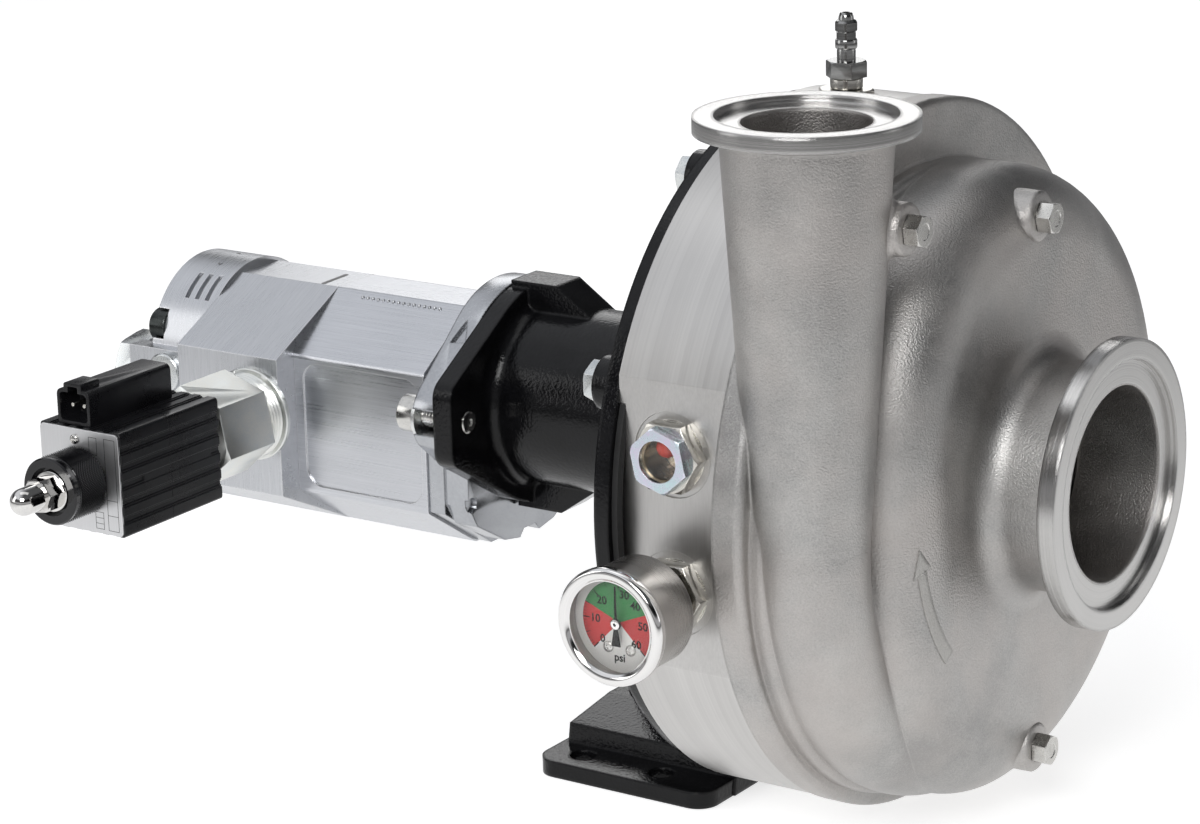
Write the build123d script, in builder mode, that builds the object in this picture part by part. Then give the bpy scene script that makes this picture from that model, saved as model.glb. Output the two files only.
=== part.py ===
from build123d import *
from math import acos, cos, degrees, pi, radians, sin, sqrt, tan
import os

os.makedirs("parts", exist_ok=True)

# Every length is in millimetres. X is to the right as seen from the suction side, +Y runs back
# along the shaft to the motor and +Z is up. The origin is the middle of the foot's bolt pattern.
# Distances called "at" or "y" below are measured back along the shaft from the casing's seam.

# Frame foot and shaft line
shaft_height = 142.0
seam_y = -101.0
foot_hole_dia = 11.0
foot_hole_x = 104.8
foot_hole_y = 38.1
foot_width = 129.0
foot_front = 53.0
foot_rear = 136.5
foot_thick = 7.0
foot_corner = 9.0
saddle_half_width = 44.0
saddle_height = 15.0
gusset_thick = 14.0

# Volute casing
rim_dia = 280.3
rim_thick = 12.0
rim_round = 3.0
casing_depth = 60.0
shoulder_round = 27.0
scroll_plane = -26.0
scroll_top_r = 121.0
scroll_drop = 4.0
scroll_low_r = 127.0
scroll_crown_wall = 7.0
scroll_outer_r = 129.0
tube_start_r = 19.0
tube_end_r = 22.0
rib_r = 124.5
rib_shift_x = 9.0
rib_shift_z = 7.0
rib_thick = 7.0
casing_wall = 5.0
impeller_gap = 3.0
passage_lip = 5.0

# Suction and discharge connections
suction_flange_dia = 112.7
suction_bore = 76.2
suction_pipe_dia = 90.0
suction_face = -96.0
flange_rim_thick = 7.0
flange_taper = 2.5
suction_recess_dia = 96.8
recess_depth = 2.8
suction_root_round = 10.0
discharge_flange_dia = 82.0
discharge_bore = 47.4
discharge_pipe_dia = 63.5
discharge_x = -113.0
discharge_top = 158.0
discharge_rim_thick = 6.0
discharge_recess_dia = 66.6
throat_bore = 34.0
discharge_straight = 26.0

# Casing plugs
plug_hex = 11.1
plug_hex_height = 6.4
plug_thread_dia = 9.6
plug_thread_length = 9.0
plug_boss_dia = 20.0
vent_plug_z = 100.7
drain_plug_z = -113.5
plug_boss_face = -61.0
nozzle_plug_x = -94.0
nozzle_plug_z = 115.0
nozzle_boss_face = -57.0

# Seal chamber
drum_dia = 279.0
drum_depth = 46.8
drum_wall = 12.0
drum_front_wall = 11.0
drum_dish = 16.0
drum_dish_wall = 8.0
drum_pad = 10.0
column_dia = 20.0
spigot_gap = 0.1
drum_flat_x = 128.0
port_at = 24.0
sight_port_z = 27.9
gauge_port_z = -25.9
spotface_dia = 33.0
spotface_depth = 0.8
port_thread_dia = 20.6
fill_thread_dia = 16.0

# Rear cover and neck of the frame
disc_dia = 275.2
disc_thick = 6.4
neck_dia = 76.0
neck_bore = 62.0
mount_face = 181.0
mount_flange_thick = 9.0
mount_flange_r = 47.0
mount_ear_x = 65.0
mount_ear_half = 19.0
mount_ear_round = 8.0
mount_rib_height = 49.0
mount_rib_thick = 18.0
mount_rib_run = 42.0
mount_rib_flat_run = 23.0
pilot_dia = 82.55
pilot_length = 6.4
pilot_clearance = 0.05
mount_bolt_x = 53.2
mount_bolt_dia = 9.525
mount_bolt_head_dia = 15.9
mount_bolt_head = 9.5
mount_washer_dia = 20.0
mount_washer_thick = 1.6
frame_bolt_count = 8
frame_bolt_circle_r = 122.0
frame_bolt_dia = 9.525
frame_bolt_hex = 14.3
frame_bolt_head = 6.0
frame_boss_dia = 22.0
frame_boss_height = 9.5
frame_bolt_length = 50.0

# Shaft, bearings and seals
shaft_dia = 25.0
shaft_nose_dia = 20.0
shaft_thread_dia = 12.7
shaft_tail_room = 9.0
socket_dia = 16.1
socket_depth = 30.0
shaft_shoulder_dia = 31.0
bearing_width = 16.0
front_bearing_at = 62.0
rear_bearing_at = 121.0
race_thick = 4.4
spacer_thick = 3.0
ring_groove_dia = 65.0
snap_ring_thick = 2.0
seal_seat_dia = 42.0
seal_seat_thick = 8.0
seal_bore_clearance = 0.6
seal_face_dia = 36.0
seal_head_length = 15.0
seal_gap = 0.05

# Impeller
impeller_dia = 170.0
impeller_outlet = 9.0
shroud_thick = 3.2
vane_count = 6
vane_thick = 3.4
vane_sweep = 95.0
vane_mean_share = 0.62
vane_slant = 1.6
impeller_eye_dia = 72.0
eye_ring_dia = 82.0
hub_dia = 38.0
hub_gap = 1.2
hub_nose_dia = 30.0
wear_ring_wall = 3.0
wear_gap = 0.3
key_width = 5.0
key_height = 5.0
key_length = 14.0
nut_hex = 22.0
nut_height = 11.0
washer_dia = 27.0
washer_thick = 2.5

# Sight plug and the bushes in both side ports
bush_hex = 25.4
bush_hex_length = 7.0
bush_depth = 9.0
bush_bore_dia = 18.6
sight_hex = 22.2
sight_hex_length = 4.2
sight_lip = 0.8
sight_lip_dia = 15.8
sight_bore_dia = 16.4
sight_glass_thick = 3.0
sight_floor = 3.0
sight_float_dia = 8.0

# Pressure gauge
gauge_front_x = 173.3
gauge_depth = 27.0
gauge_bezel_dia = 45.0
gauge_window_dia = 35.0
gauge_lip = 1.4
gauge_bezel_width = 5.0
gauge_case_dia = 42.0
gauge_case_wall = 1.5
gauge_lens_thick = 1.5
gauge_dial_thick = 0.8
gauge_dial_back = 5.4
gauge_stem_dia = 14.0
gauge_stem_hex = 19.0
gauge_bore_dia = 4.0
dial_screw_at = 4.9
dial_screw_drop = 10.0
dial_screw_dia = 4.4
pointer_length = 14.5
pointer_tail = 8.5
pointer_width = 0.9
pointer_tail_width = 3.8
pointer_hub_dia = 4.4
pointer_thick = 0.5
pointer_gap = 1.1

# Air filling nipple
nipple_seat_z = 139.0
nipple_spot_dia = 25.0
nipple_bush_hex = 20.0
nipple_bush_height = 3.4
nipple_thread_dia = 9.5
nipple_ring_dia = 12.9
nipple_ring_height = 4.6
nipple_hex = 14.3
nipple_hex_height = 6.5
nipple_stem_dia = 7.3
nipple_collar_dia = 8.6
nipple_neck_dia = 7.7
nipple_tip_z = 172.0
nipple_bore_dia = 3.2
nipple_pin_dia = 3.0

# Motor covers and body
cover_flange_thick = 11.5
cover_depth = 19.5
cover_circle_r = 47.5
cover_ear_r = 16.0
cover_ear_x = 48.5
cover_slot_width = 10.8
body_length = 68.1
block_length = 54.0
rear_length = 29.4
rear_box_step = 8.0
body_half_width = 45.0
body_top = 36.0
body_bottom = -67.5
body_crease_top = 14.0
body_crease_bottom = -46.0
body_flat_half = 12.3
body_round = 3.0
side_panel_depth = 0.8
block_side_x = 56.5
rear_round_r = 39.5
rear_box_top = 6.5
rear_slot_width = 2.2
rear_slot_depth = 2.0
gear_centres = 32.0
gear_teeth = 12
gear_pressure_angle = 25.0
gear_addendum = 2.4
gear_dedendum = 3.0
gear_backlash = 0.3
gear_inset = 21.5
gear_width = 28.0
gear_side_gap = 0.05
gear_tip_gap = 0.12
journal_dia = 17.0
journal_gap = 0.03
motor_shaft_dia = 15.9
motor_bolt_x = 31.0
motor_bolt_high = 13.0
motor_bolt_low = -45.0
motor_bolt_dia = 8.0
motor_bolt_head_dia = 15.0
motor_bolt_head = 8.5
lip_seal_dia = 35.0
lip_seal_thick = 7.0

# Valve and coil
valve_inset = 13.9
valve_z = -11.0
valve_hex = 38.1
valve_hex_length = 34.0
valve_collar_dia = 40.0
valve_collar_length = 8.0
valve_cavity_dia = 24.0
valve_cavity_depth = 40.0
valve_neck_hex = 24.0
tube_dia = 16.0
tube_end_x = 182.0
spool_dia = 10.0
spool_length = 34.0
spool_stroke = 3.0
spool_gap = 0.03
coil_near_x = 104.0
coil_far_x = 164.5
coil_width = 42.0
coil_height = 43.4
coil_rib_depth = 0.9
coil_rib_count = 6
coil_bore_gap = 0.3
plate_thick = 1.0
knob_dia = 28.0
knob_end_x = 184.5
knob_mouth_dia = 20.0
acorn_hex = 12.7
acorn_hex_length = 8.0
acorn_collar_dia = 17.0
acorn_collar = 2.0
acorn_dome_dia = 11.2
acorn_tip_x = 205.0
connector_shift = 4.0
connector_width = 17.0
connector_height = 14.5
connector_near_x = 113.0
connector_far_x = 163.0
connector_wall = 1.5
connector_mouth = 12.0
pin_dia = 1.6
pin_length = 9.0

inch_hex = 2.0 / sqrt(3.0)


def across(distance):
    # A plane square to the shaft: sketch x is X, sketch y is Z, and it faces the suction side.
    return Plane(origin=(0, seam_y + distance, shaft_height), x_dir=(1, 0, 0), z_dir=(0, -1, 0))


def side(offset):
    # A plane facing -X: sketch x is -Y measured from the seam, sketch y is Z from the shaft.
    return Plane(origin=(-offset, seam_y, shaft_height), x_dir=(0, -1, 0), z_dir=(-1, 0, 0))


# Half sections of turned pieces: sketch x is the distance behind the seam, sketch y the radius.
along = Plane(origin=(0, seam_y, shaft_height), x_dir=(0, 1, 0), z_dir=(1, 0, 0))
shaft_axis = Axis((0, seam_y, shaft_height), (0, 1, 0))


def turned(outline, plane=along, axis=shaft_axis):
    with BuildPart() as piece:
        with BuildSketch(plane):
            with BuildLine():
                Polyline(*outline, close=True)
            make_face()
        revolve(axis=axis)
    return piece


def lying(at, height):
    # Half sections of pieces turned about an axis along X: sketch x runs outwards, towards -X.
    return Plane(origin=(0, seam_y + at, shaft_height + height), x_dir=(-1, 0, 0), z_dir=(0, 1, 0))


def turned_out(outline, at, height):
    return turned(outline, lying(at, height), Axis((0, seam_y + at, shaft_height + height), (-1, 0, 0)))


def standing(at):
    # Half sections of pieces turned about an upright axis: sketch x runs up from the shaft.
    return Plane(origin=(0, seam_y + at, shaft_height), x_dir=(0, 0, 1), z_dir=(0, 1, 0))


def hex_prism(plane, spots, flats, length, rotation=0.0):
    # Hexagon heads with the corners of the outer end turned to a bevel.
    corner_r = flats / 2 * inch_hex
    with BuildPart() as blank:
        with BuildSketch(plane):
            with Locations(*spots):
                Circle(corner_r)
        extrude(amount=length)
        far_faces = blank.faces().sort_by(Axis(plane.origin, plane.z_dir))[-len(spots) :]
        chamfer(far_faces.edges(), (corner_r - flats / 2))
    with BuildPart() as head:
        with BuildSketch(plane):
            with Locations(*spots):
                RegularPolygon(flats / 2, 6, major_radius=False, rotation=rotation)
        extrude(amount=length)
        add(blank.part, mode=Mode.INTERSECT)
    return head


def tube_outline(start, end, inner_r, outer_r):
    return [(start, inner_r), (end, inner_r), (end, outer_r), (start, outer_r)]


def disc_cap(start, end, outer_r):
    return tube_outline(start, end, 0, outer_r)


def arc(centre_x, centre_z, radius, start, sweep):
    return CenterArc((centre_x, centre_z), radius, start, sweep)


def around_shaft(angle, radius):
    # The point at a clock angle, counted clockwise from twelve o'clock as seen from the front.
    return radius * sin(radians(angle)), radius * cos(radians(angle))


def radial_plane(angle, radius, centre_x=0.0, centre_z=0.0):
    # A plane through the shaft direction, square to a circle round the given centre.
    x, z = around_shaft(angle, radius)
    return Plane(
        origin=(centre_x + x, seam_y + scroll_plane, shaft_height + centre_z + z),
        x_dir=(0, 1, 0),
        z_dir=(cos(radians(angle)), 0, -sin(radians(angle))),
    )


# Volute casing: one stainless casting. The scroll is drawn as circular arcs that grow clockwise
# seen from the front, and its tube leaves the body at nine o'clock to become the diffuser.
chamber_r = impeller_dia / 2 + impeller_gap
scroll_crown_r = chamber_r + scroll_crown_wall
crown_z = scroll_top_r - scroll_drop - scroll_crown_r
low_x = scroll_top_r - scroll_low_r
scroll_side_r = scroll_crown_r + low_x
bottom_z = -scroll_drop - scroll_low_r
tube_centre_x = discharge_x - tube_end_r + scroll_outer_r
tube_centre_z = bottom_z + scroll_outer_r
pipe_top = discharge_top - discharge_rim_thick
suction_rim_back = suction_face + flange_rim_thick
suction_r = suction_bore / 2
chamber_front = -casing_depth + casing_wall + 2.0
chamber_step = 15.0
wear_seat_r = eye_ring_dia / 2 + wear_gap + wear_ring_wall
wear_seat_front = chamber_front - 5.0
passage_start = -40.0
passage_end = 270.0
passage_steps = 8
passage_inner_r = chamber_r - passage_lip
throat_r = throat_bore / 2
passage_half_start = 12.0
tube_lead = -30.0
tube_steps = 6
port_drill_dia = 7.0
throat_overlap = 2.0
throat_step = 0.3


def scroll_reach(angle):
    # Outer radius of the casing at a clock angle, from the arcs of the scroll.
    centre_x, centre_z, radius = low_x, -scroll_drop, scroll_low_r
    if angle <= 0:
        centre_x, centre_z, radius = 0.0, crown_z, scroll_crown_r
    elif angle <= 90:
        centre_x, centre_z, radius = 0.0, -scroll_drop, scroll_top_r
    elif angle > 180:
        centre_x, centre_z, radius = tube_centre_x, tube_centre_z, scroll_outer_r
    towards = centre_x * sin(radians(angle)) + centre_z * cos(radians(angle))
    across_line = centre_x * cos(radians(angle)) - centre_z * sin(radians(angle))
    return towards + sqrt(radius**2 - across_line**2)


with BuildPart() as scroll_body:
    with BuildSketch(across(-rim_thick)):
        with BuildLine():
            arc(0, -scroll_drop, scroll_top_r, 90, -90)
            arc(low_x, -scroll_drop, scroll_low_r, 0, -90)
            arc(low_x, bottom_z + scroll_side_r, scroll_side_r, -90, -90)
            Line((low_x - scroll_side_r, bottom_z + scroll_side_r), (-scroll_crown_r, crown_z))
            arc(0, crown_z, scroll_crown_r, 180, -90)
        make_face()
    extrude(amount=casing_depth - rim_thick)
    fillet(scroll_body.faces().sort_by(Axis.Y)[0].edges(), radius=shoulder_round)

with BuildPart() as scroll_tube:
    for step in range(tube_steps + 1):
        turn = tube_lead + (90.0 - tube_lead) * step / tube_steps
        tube_r = tube_start_r + (tube_end_r - tube_start_r) * turn / 90.0
        with BuildSketch(radial_plane(180 + turn, scroll_outer_r - tube_r, tube_centre_x, tube_centre_z)):
            Circle(tube_r)
    loft()

with BuildPart() as scroll_passage:
    for step in range(passage_steps + 1):
        share = step / passage_steps
        angle = passage_start + (passage_end - passage_start) * share
        leaving = max(0.0, (angle - 180.0) / 90.0) ** 2
        inner = passage_inner_r + (-discharge_x - throat_r - passage_inner_r) * leaving
        outer = scroll_reach(angle) - casing_wall
        half_depth = passage_half_start + (throat_r - passage_half_start) * share
        with BuildSketch(radial_plane(angle, (inner + outer) / 2)):
            Ellipse(half_depth, (outer - inner) / 2)
    loft()


def cone_pipe(start_z, end_z, start_r, end_r):
    with BuildPart() as pipe:
        for level, radius in ((start_z, start_r), (end_z, end_r)):
            with BuildSketch(Plane.XY.offset(shaft_height + level)):
                with Locations((discharge_x, seam_y + scroll_plane)):
                    Circle(radius)
        loft()
    return pipe


diffuser = cone_pipe(tube_centre_z, pipe_top, tube_end_r, discharge_pipe_dia / 2)
diffuser_bore = cone_pipe(
    -throat_overlap, discharge_top - discharge_straight, throat_r + throat_step, discharge_bore / 2
)
discharge_mouth = cone_pipe(
    discharge_top - discharge_straight, discharge_top, discharge_bore / 2, discharge_bore / 2
)
discharge_axis = Axis((discharge_x, seam_y + scroll_plane, shaft_height), (0, 0, 1))
discharge_section = Plane(
    origin=(discharge_x, seam_y + scroll_plane, shaft_height), x_dir=(0, 0, 1), z_dir=(0, 1, 0)
)
discharge_r = discharge_flange_dia / 2
discharge_flange = turned(
    [
        (pipe_top - flange_taper, 0),
        (pipe_top - flange_taper, discharge_pipe_dia / 2),
        (pipe_top, discharge_r),
        (discharge_top, discharge_r),
        (discharge_top, 0),
    ],
    discharge_section,
    discharge_axis,
)
discharge_recess = turned(
    disc_cap(discharge_top - recess_depth, discharge_top, discharge_recess_dia / 2),
    discharge_section,
    discharge_axis,
)
suction_neck = turned(
    [
        (-casing_depth + casing_wall, 0),
        (-casing_depth + casing_wall, suction_pipe_dia / 2),
        (suction_rim_back + flange_taper, suction_pipe_dia / 2),
        (suction_rim_back, suction_flange_dia / 2),
        (suction_face, suction_flange_dia / 2),
        (suction_face, 0),
    ]
)
chamber = turned(
    [
        (0, 0),
        (0, chamber_r),
        (scroll_plane - chamber_step, chamber_r),
        (chamber_front, wear_seat_r + chamber_step),
        (chamber_front, wear_seat_r),
        (wear_seat_front, wear_seat_r),
        (wear_seat_front, suction_r),
        (suction_face + recess_depth, suction_r),
        (suction_face + recess_depth, suction_recess_dia / 2),
        (suction_face, suction_recess_dia / 2),
        (suction_face, 0),
    ]
)
casing_screw_count = 6
casing_screw_circle_r = 104.0
casing_screw_dia = 8.0
casing_screw_bite = 7.0
plug_sites = [
    (0.0, vent_plug_z, plug_boss_face),
    (0.0, drain_plug_z, plug_boss_face),
    (nozzle_plug_x, nozzle_plug_z, nozzle_boss_face),
]
plug_boss_root = 30.0
plug_drill_depth = 32.0
thread_gap = 0.05
drum_relief = 0.5

with BuildPart() as volute_casing:
    with BuildSketch(across(0)):
        Circle(rim_dia / 2)
    extrude(amount=rim_thick)
    fillet(volute_casing.faces().sort_by(Axis.Y)[0].edges(), radius=rim_round)
    with BuildSketch(across(-rim_thick)):
        with Locations((-rib_shift_x, -rib_shift_z)):
            Circle(rib_r)
    extrude(amount=rib_thick)
    fillet(volute_casing.faces().sort_by(Axis.Y)[0].edges(), radius=rim_round)
    add(scroll_body.part)
    add(scroll_tube.part)
    add(diffuser.part)
    add(discharge_flange.part)
    with BuildSketch(across(drum_depth)):
        Circle(drum_dia / 2 + drum_relief)
    extrude(amount=drum_depth, mode=Mode.SUBTRACT)
    add(suction_neck.part)
    neck_root = volute_casing.edges().filter_by(GeomType.CIRCLE).filter_by(
        lambda edge: abs(edge.radius - suction_pipe_dia / 2) < 0.01
    )
    fillet(neck_root.sort_by(Axis.Y)[-1:], radius=suction_root_round)
    for x, z, face in plug_sites:
        with BuildSketch(across(face + plug_boss_root)):
            with Locations((x, z)):
                Circle(plug_boss_dia / 2)
        extrude(amount=plug_boss_root, taper=4)
    add(chamber.part, mode=Mode.SUBTRACT)
    add(scroll_passage.part, mode=Mode.SUBTRACT)
    add(diffuser_bore.part, mode=Mode.SUBTRACT)
    add(discharge_mouth.part, mode=Mode.SUBTRACT)
    add(discharge_recess.part, mode=Mode.SUBTRACT)
    for x, z, face in plug_sites:
        with BuildSketch(across(face)):
            with Locations((x, z)):
                Circle(plug_thread_dia / 2 + thread_gap)
        extrude(amount=-plug_thread_length - 2, mode=Mode.SUBTRACT)
        with BuildSketch(across(face)):
            with Locations((x, z)):
                Circle(port_drill_dia / 2)
        extrude(amount=-plug_drill_depth, mode=Mode.SUBTRACT)
    with BuildSketch(across(0)):
        with PolarLocations(casing_screw_circle_r, casing_screw_count):
            Circle(casing_screw_dia / 2 + thread_gap)
    extrude(amount=casing_screw_bite + 0.5, mode=Mode.SUBTRACT)
volute_casing.part.label = "volute_casing"
export_step(volute_casing.part, "parts/volute_casing.step")

# Seal chamber: a turned stainless drum with a flat for its fittings. Its dished front wall is the
# back plate of the casing, and the barrier fluid stands in it.
drum_r = drum_dia / 2
drum_inner_r = drum_r - drum_wall
dish_r = chamber_r - drum_dish_wall
spigot_r = chamber_r - spigot_gap
seal_seat_r = seal_seat_dia / 2
front_seat_front = -drum_dish + 4.0
front_seat_back = front_seat_front + seal_seat_thick
hub_r = 30.0
hub_back = front_seat_back + 1.5
shaft_hole_r = shaft_dia / 2 + seal_bore_clearance
frame_bolt_start = 22.5
frame_bolt_face = drum_depth + disc_thick + frame_boss_height
frame_bolt_tip = frame_bolt_face - frame_bolt_length
bolt_hole_r = frame_bolt_dia / 2 + thread_gap
port_r = port_thread_dia / 2
seat_x = drum_flat_x - spotface_depth
groove_depth = 2.6
groove_width = 4.0
front_groove_r = 97.0
rear_groove_r = 133.5

with BuildPart() as seal_chamber:
    with BuildSketch(across(drum_depth)):
        Circle(drum_r)
        with Locations((-drum_flat_x - drum_r / 2, 0)):
            Rectangle(drum_r, drum_dia, mode=Mode.SUBTRACT)
    extrude(amount=drum_depth)
    with BuildSketch(across(0)):
        Circle(spigot_r)
    extrude(amount=drum_dish)
    with BuildSketch(across(drum_depth)):
        Circle(drum_inner_r)
        with Locations((-drum_flat_x + drum_pad - drum_r / 2, 0)):
            Rectangle(drum_r, drum_dia, mode=Mode.SUBTRACT)
    extrude(amount=drum_depth - drum_front_wall, mode=Mode.SUBTRACT)
    with BuildSketch(across(drum_front_wall)):
        Circle(dish_r)
    extrude(amount=drum_front_wall + drum_dish - drum_dish_wall, mode=Mode.SUBTRACT)
    with BuildSketch(across(drum_depth)):
        with PolarLocations(frame_bolt_circle_r, frame_bolt_count, start_angle=frame_bolt_start):
            Circle(column_dia / 2)
    extrude(amount=drum_depth - drum_front_wall + 1)
    with BuildSketch(across(hub_back)):
        Circle(hub_r)
    extrude(amount=hub_back + drum_dish)
    with BuildSketch(across(hub_back)):
        Circle(seal_seat_r + thread_gap)
    extrude(amount=hub_back - front_seat_front, mode=Mode.SUBTRACT)
    with BuildSketch(across(front_seat_front)):
        Circle(shaft_hole_r)
    extrude(amount=drum_dish, mode=Mode.SUBTRACT)
    with BuildSketch(across(drum_depth)):
        with PolarLocations(frame_bolt_circle_r, frame_bolt_count, start_angle=frame_bolt_start):
            Circle(bolt_hole_r)
    extrude(amount=drum_depth - frame_bolt_tip + 1, mode=Mode.SUBTRACT)
    with BuildSketch(across(drum_front_wall)):
        with PolarLocations(casing_screw_circle_r, casing_screw_count):
            Circle(casing_screw_dia / 2 + thread_gap)
    extrude(amount=drum_front_wall, mode=Mode.SUBTRACT)
    for level, radius in ((groove_depth, front_groove_r), (drum_depth, rear_groove_r)):
        with BuildSketch(across(level)):
            Circle(radius + groove_width / 2)
            Circle(radius - groove_width / 2, mode=Mode.SUBTRACT)
        extrude(amount=groove_depth, mode=Mode.SUBTRACT)
    for z in (sight_port_z, gauge_port_z):
        with BuildSketch(side(seat_x)):
            with Locations((-port_at, z)):
                Circle(spotface_dia / 2)
        extrude(amount=drum_pad, mode=Mode.SUBTRACT)
        with BuildSketch(side(seat_x)):
            with Locations((-port_at, z)):
                Circle(port_r + thread_gap)
        extrude(amount=-drum_pad, mode=Mode.SUBTRACT)
    with BuildSketch(Plane.XY.offset(shaft_height + drum_inner_r - 5)):
        with Locations((0, seam_y + port_at)):
            Circle(fill_thread_dia / 2 + thread_gap)
    extrude(amount=drum_wall + 10, mode=Mode.SUBTRACT)
    with BuildSketch(Plane.XY.offset(shaft_height + nipple_seat_z)):
        with Locations((0, seam_y + port_at)):
            Circle(nipple_spot_dia / 2)
    extrude(amount=drum_wall, mode=Mode.SUBTRACT)
seal_chamber.part.label = "seal_chamber"
export_step(seal_chamber.part, "parts/seal_chamber.step")

# Rubber rings squeezed in the grooves of the seal chamber.
ring_gap = 0.15


def squeezed_ring(front, radius):
    return turned(
        tube_outline(
            front + ring_gap,
            front + groove_depth,
            radius - groove_width / 2 + ring_gap,
            radius + groove_width / 2 - ring_gap,
        )
    )


with BuildPart() as chamber_o_rings:
    add(squeezed_ring(0, front_groove_r).part)
    add(squeezed_ring(drum_depth - groove_depth - ring_gap, rear_groove_r).part)
chamber_o_rings.part.label = "chamber_o_rings"
export_step(chamber_o_rings.part, "parts/chamber_o_rings.step")

# Cap screws that hold the casing to the seal chamber from inside the drum.
cap_screw_head_dia = 13.0
cap_screw_head = 8.0
cap_screw_socket = 6.0
with BuildPart() as casing_screws:
    with BuildSketch(across(drum_front_wall)):
        with PolarLocations(casing_screw_circle_r, casing_screw_count):
            Circle(casing_screw_dia / 2)
    extrude(amount=drum_front_wall + casing_screw_bite)
    with BuildSketch(across(drum_front_wall + cap_screw_head)):
        with PolarLocations(casing_screw_circle_r, casing_screw_count):
            Circle(cap_screw_head_dia / 2)
            RegularPolygon(cap_screw_socket / 2, 6, major_radius=False, mode=Mode.SUBTRACT)
    extrude(amount=cap_screw_head)
casing_screws.part.label = "casing_screws"
export_step(casing_screws.part, "parts/casing_screws.step")

# Wear ring pressed into the casing round the impeller eye.
wear_ring_length = 8.0
wear_ring = turned(
    tube_outline(
        wear_seat_front, wear_seat_front + wear_ring_length, wear_seat_r - wear_ring_wall, wear_seat_r - 0.02
    )
)
wear_ring.part.label = "wear_ring"
export_step(wear_ring.part, "parts/wear_ring.step")

# Mounting frame: one grey iron casting of rear disc, bearing neck, motor flange and foot.
disc_back = drum_depth + disc_thick
disc_r = disc_dia / 2
neck_r = neck_dia / 2
bearing_r = neck_bore / 2
saddle_rear = foot_rear - 2.5
saddle_crown = 19.0
saddle_crown_half = 12.0
saddle_draft = 2.5
rear_seat_back = drum_depth + seal_seat_thick
bearing_seat_r = bearing_r + 0.03
shoulder_hole_r = 20.0
gusset_rear_top = 100.0
gusset_rear_low = 128.0
pilot_r = pilot_dia / 2
mount_flange_round = 5.0
snap_groove_at = rear_bearing_at + bearing_width


def lens_flange(circle_r, ear_x, ear_half, ear_round):
    Circle(circle_r)
    RectangleRounded(2 * ear_x, 2 * ear_half, ear_round)
    make_hull()


with BuildPart() as mounting_frame:
    with BuildSketch(across(disc_back)):
        Circle(disc_r)
    extrude(amount=disc_thick)
    with BuildSketch(across(disc_back)):
        with PolarLocations(frame_bolt_circle_r, frame_bolt_count, start_angle=frame_bolt_start):
            Circle(frame_boss_dia / 2)
    extrude(amount=-frame_boss_height, taper=3)
    with BuildSketch(across(mount_face)):
        Circle(neck_r)
    extrude(amount=mount_face - drum_depth)
    with BuildSketch(across(mount_face)):
        lens_flange(mount_flange_r, mount_ear_x, mount_ear_half, mount_ear_round)
    extrude(amount=mount_flange_thick)
    flange_root = mounting_frame.edges().filter_by(GeomType.CIRCLE).filter_by(
        lambda edge: abs(edge.radius - neck_r) < 0.01
    )
    fillet(flange_root.sort_by(Axis.Y)[-1:], radius=mount_flange_round)
    for sign in (1, -1):
        with BuildSketch(along):
            with BuildLine():
                Polyline(
                    (mount_face - mount_rib_run, sign * (neck_r - 2)),
                    (mount_face - mount_rib_flat_run, sign * mount_rib_height),
                    (mount_face - 1, sign * mount_rib_height),
                    (mount_face - 1, sign * (neck_r - 2)),
                    close=True,
                )
            make_face()
        extrude(amount=mount_rib_thick / 2, both=True)
    with BuildSketch(Plane.XY):
        with Locations((0, seam_y + (foot_front + foot_rear) / 2)):
            RectangleRounded(foot_width, foot_rear - foot_front, foot_corner)
    extrude(amount=foot_thick)
    with BuildSketch(across(saddle_rear)):
        with BuildLine():
            Polyline(
                (-saddle_half_width, -shaft_height),
                (-saddle_half_width + saddle_draft, saddle_height - shaft_height),
                (-saddle_crown_half, saddle_crown - shaft_height),
                (saddle_crown_half, saddle_crown - shaft_height),
                (saddle_half_width - saddle_draft, saddle_height - shaft_height),
                (saddle_half_width, -shaft_height),
                close=True,
            )
        make_face()
    extrude(amount=saddle_rear - disc_back + 1)
    with BuildSketch(along):
        with BuildLine():
            Polyline(
                (disc_back - 1, -neck_r + 4),
                (gusset_rear_top, -neck_r + 4),
                (gusset_rear_low, saddle_crown - 2 - shaft_height),
                (disc_back - 1, saddle_crown - 2 - shaft_height),
                close=True,
            )
        make_face()
    extrude(amount=gusset_thick / 2, both=True)
    bore = turned(
        [
            (drum_depth, 0),
            (drum_depth, seal_seat_r + thread_gap),
            (rear_seat_back, seal_seat_r + thread_gap),
            (rear_seat_back, shoulder_hole_r),
            (front_bearing_at, shoulder_hole_r),
            (front_bearing_at, bearing_seat_r),
            (snap_groove_at, bearing_seat_r),
            (snap_groove_at, ring_groove_dia / 2),
            (snap_groove_at + snap_ring_thick, ring_groove_dia / 2),
            (snap_groove_at + snap_ring_thick, bearing_seat_r),
            (mount_face - pilot_length - 0.6, bearing_seat_r),
            (mount_face - pilot_length - 0.6, pilot_r + pilot_clearance),
            (mount_face, pilot_r + pilot_clearance),
            (mount_face, 0),
        ]
    )
    add(bore.part, mode=Mode.SUBTRACT)
    with BuildSketch(across(frame_bolt_face)):
        with PolarLocations(frame_bolt_circle_r, frame_bolt_count, start_angle=frame_bolt_start):
            Circle(bolt_hole_r)
    extrude(amount=frame_bolt_face - drum_depth, mode=Mode.SUBTRACT)
    with BuildSketch(across(mount_face)):
        with Locations((-mount_bolt_x, 0), (mount_bolt_x, 0)):
            Circle(mount_bolt_dia / 2 + thread_gap)
    extrude(amount=mount_flange_thick, mode=Mode.SUBTRACT)
    with BuildSketch(Plane.XY):
        with GridLocations(foot_hole_x, foot_hole_y, 2, 2):
            Circle(foot_hole_dia / 2)
    extrude(amount=foot_thick, mode=Mode.SUBTRACT)
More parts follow.
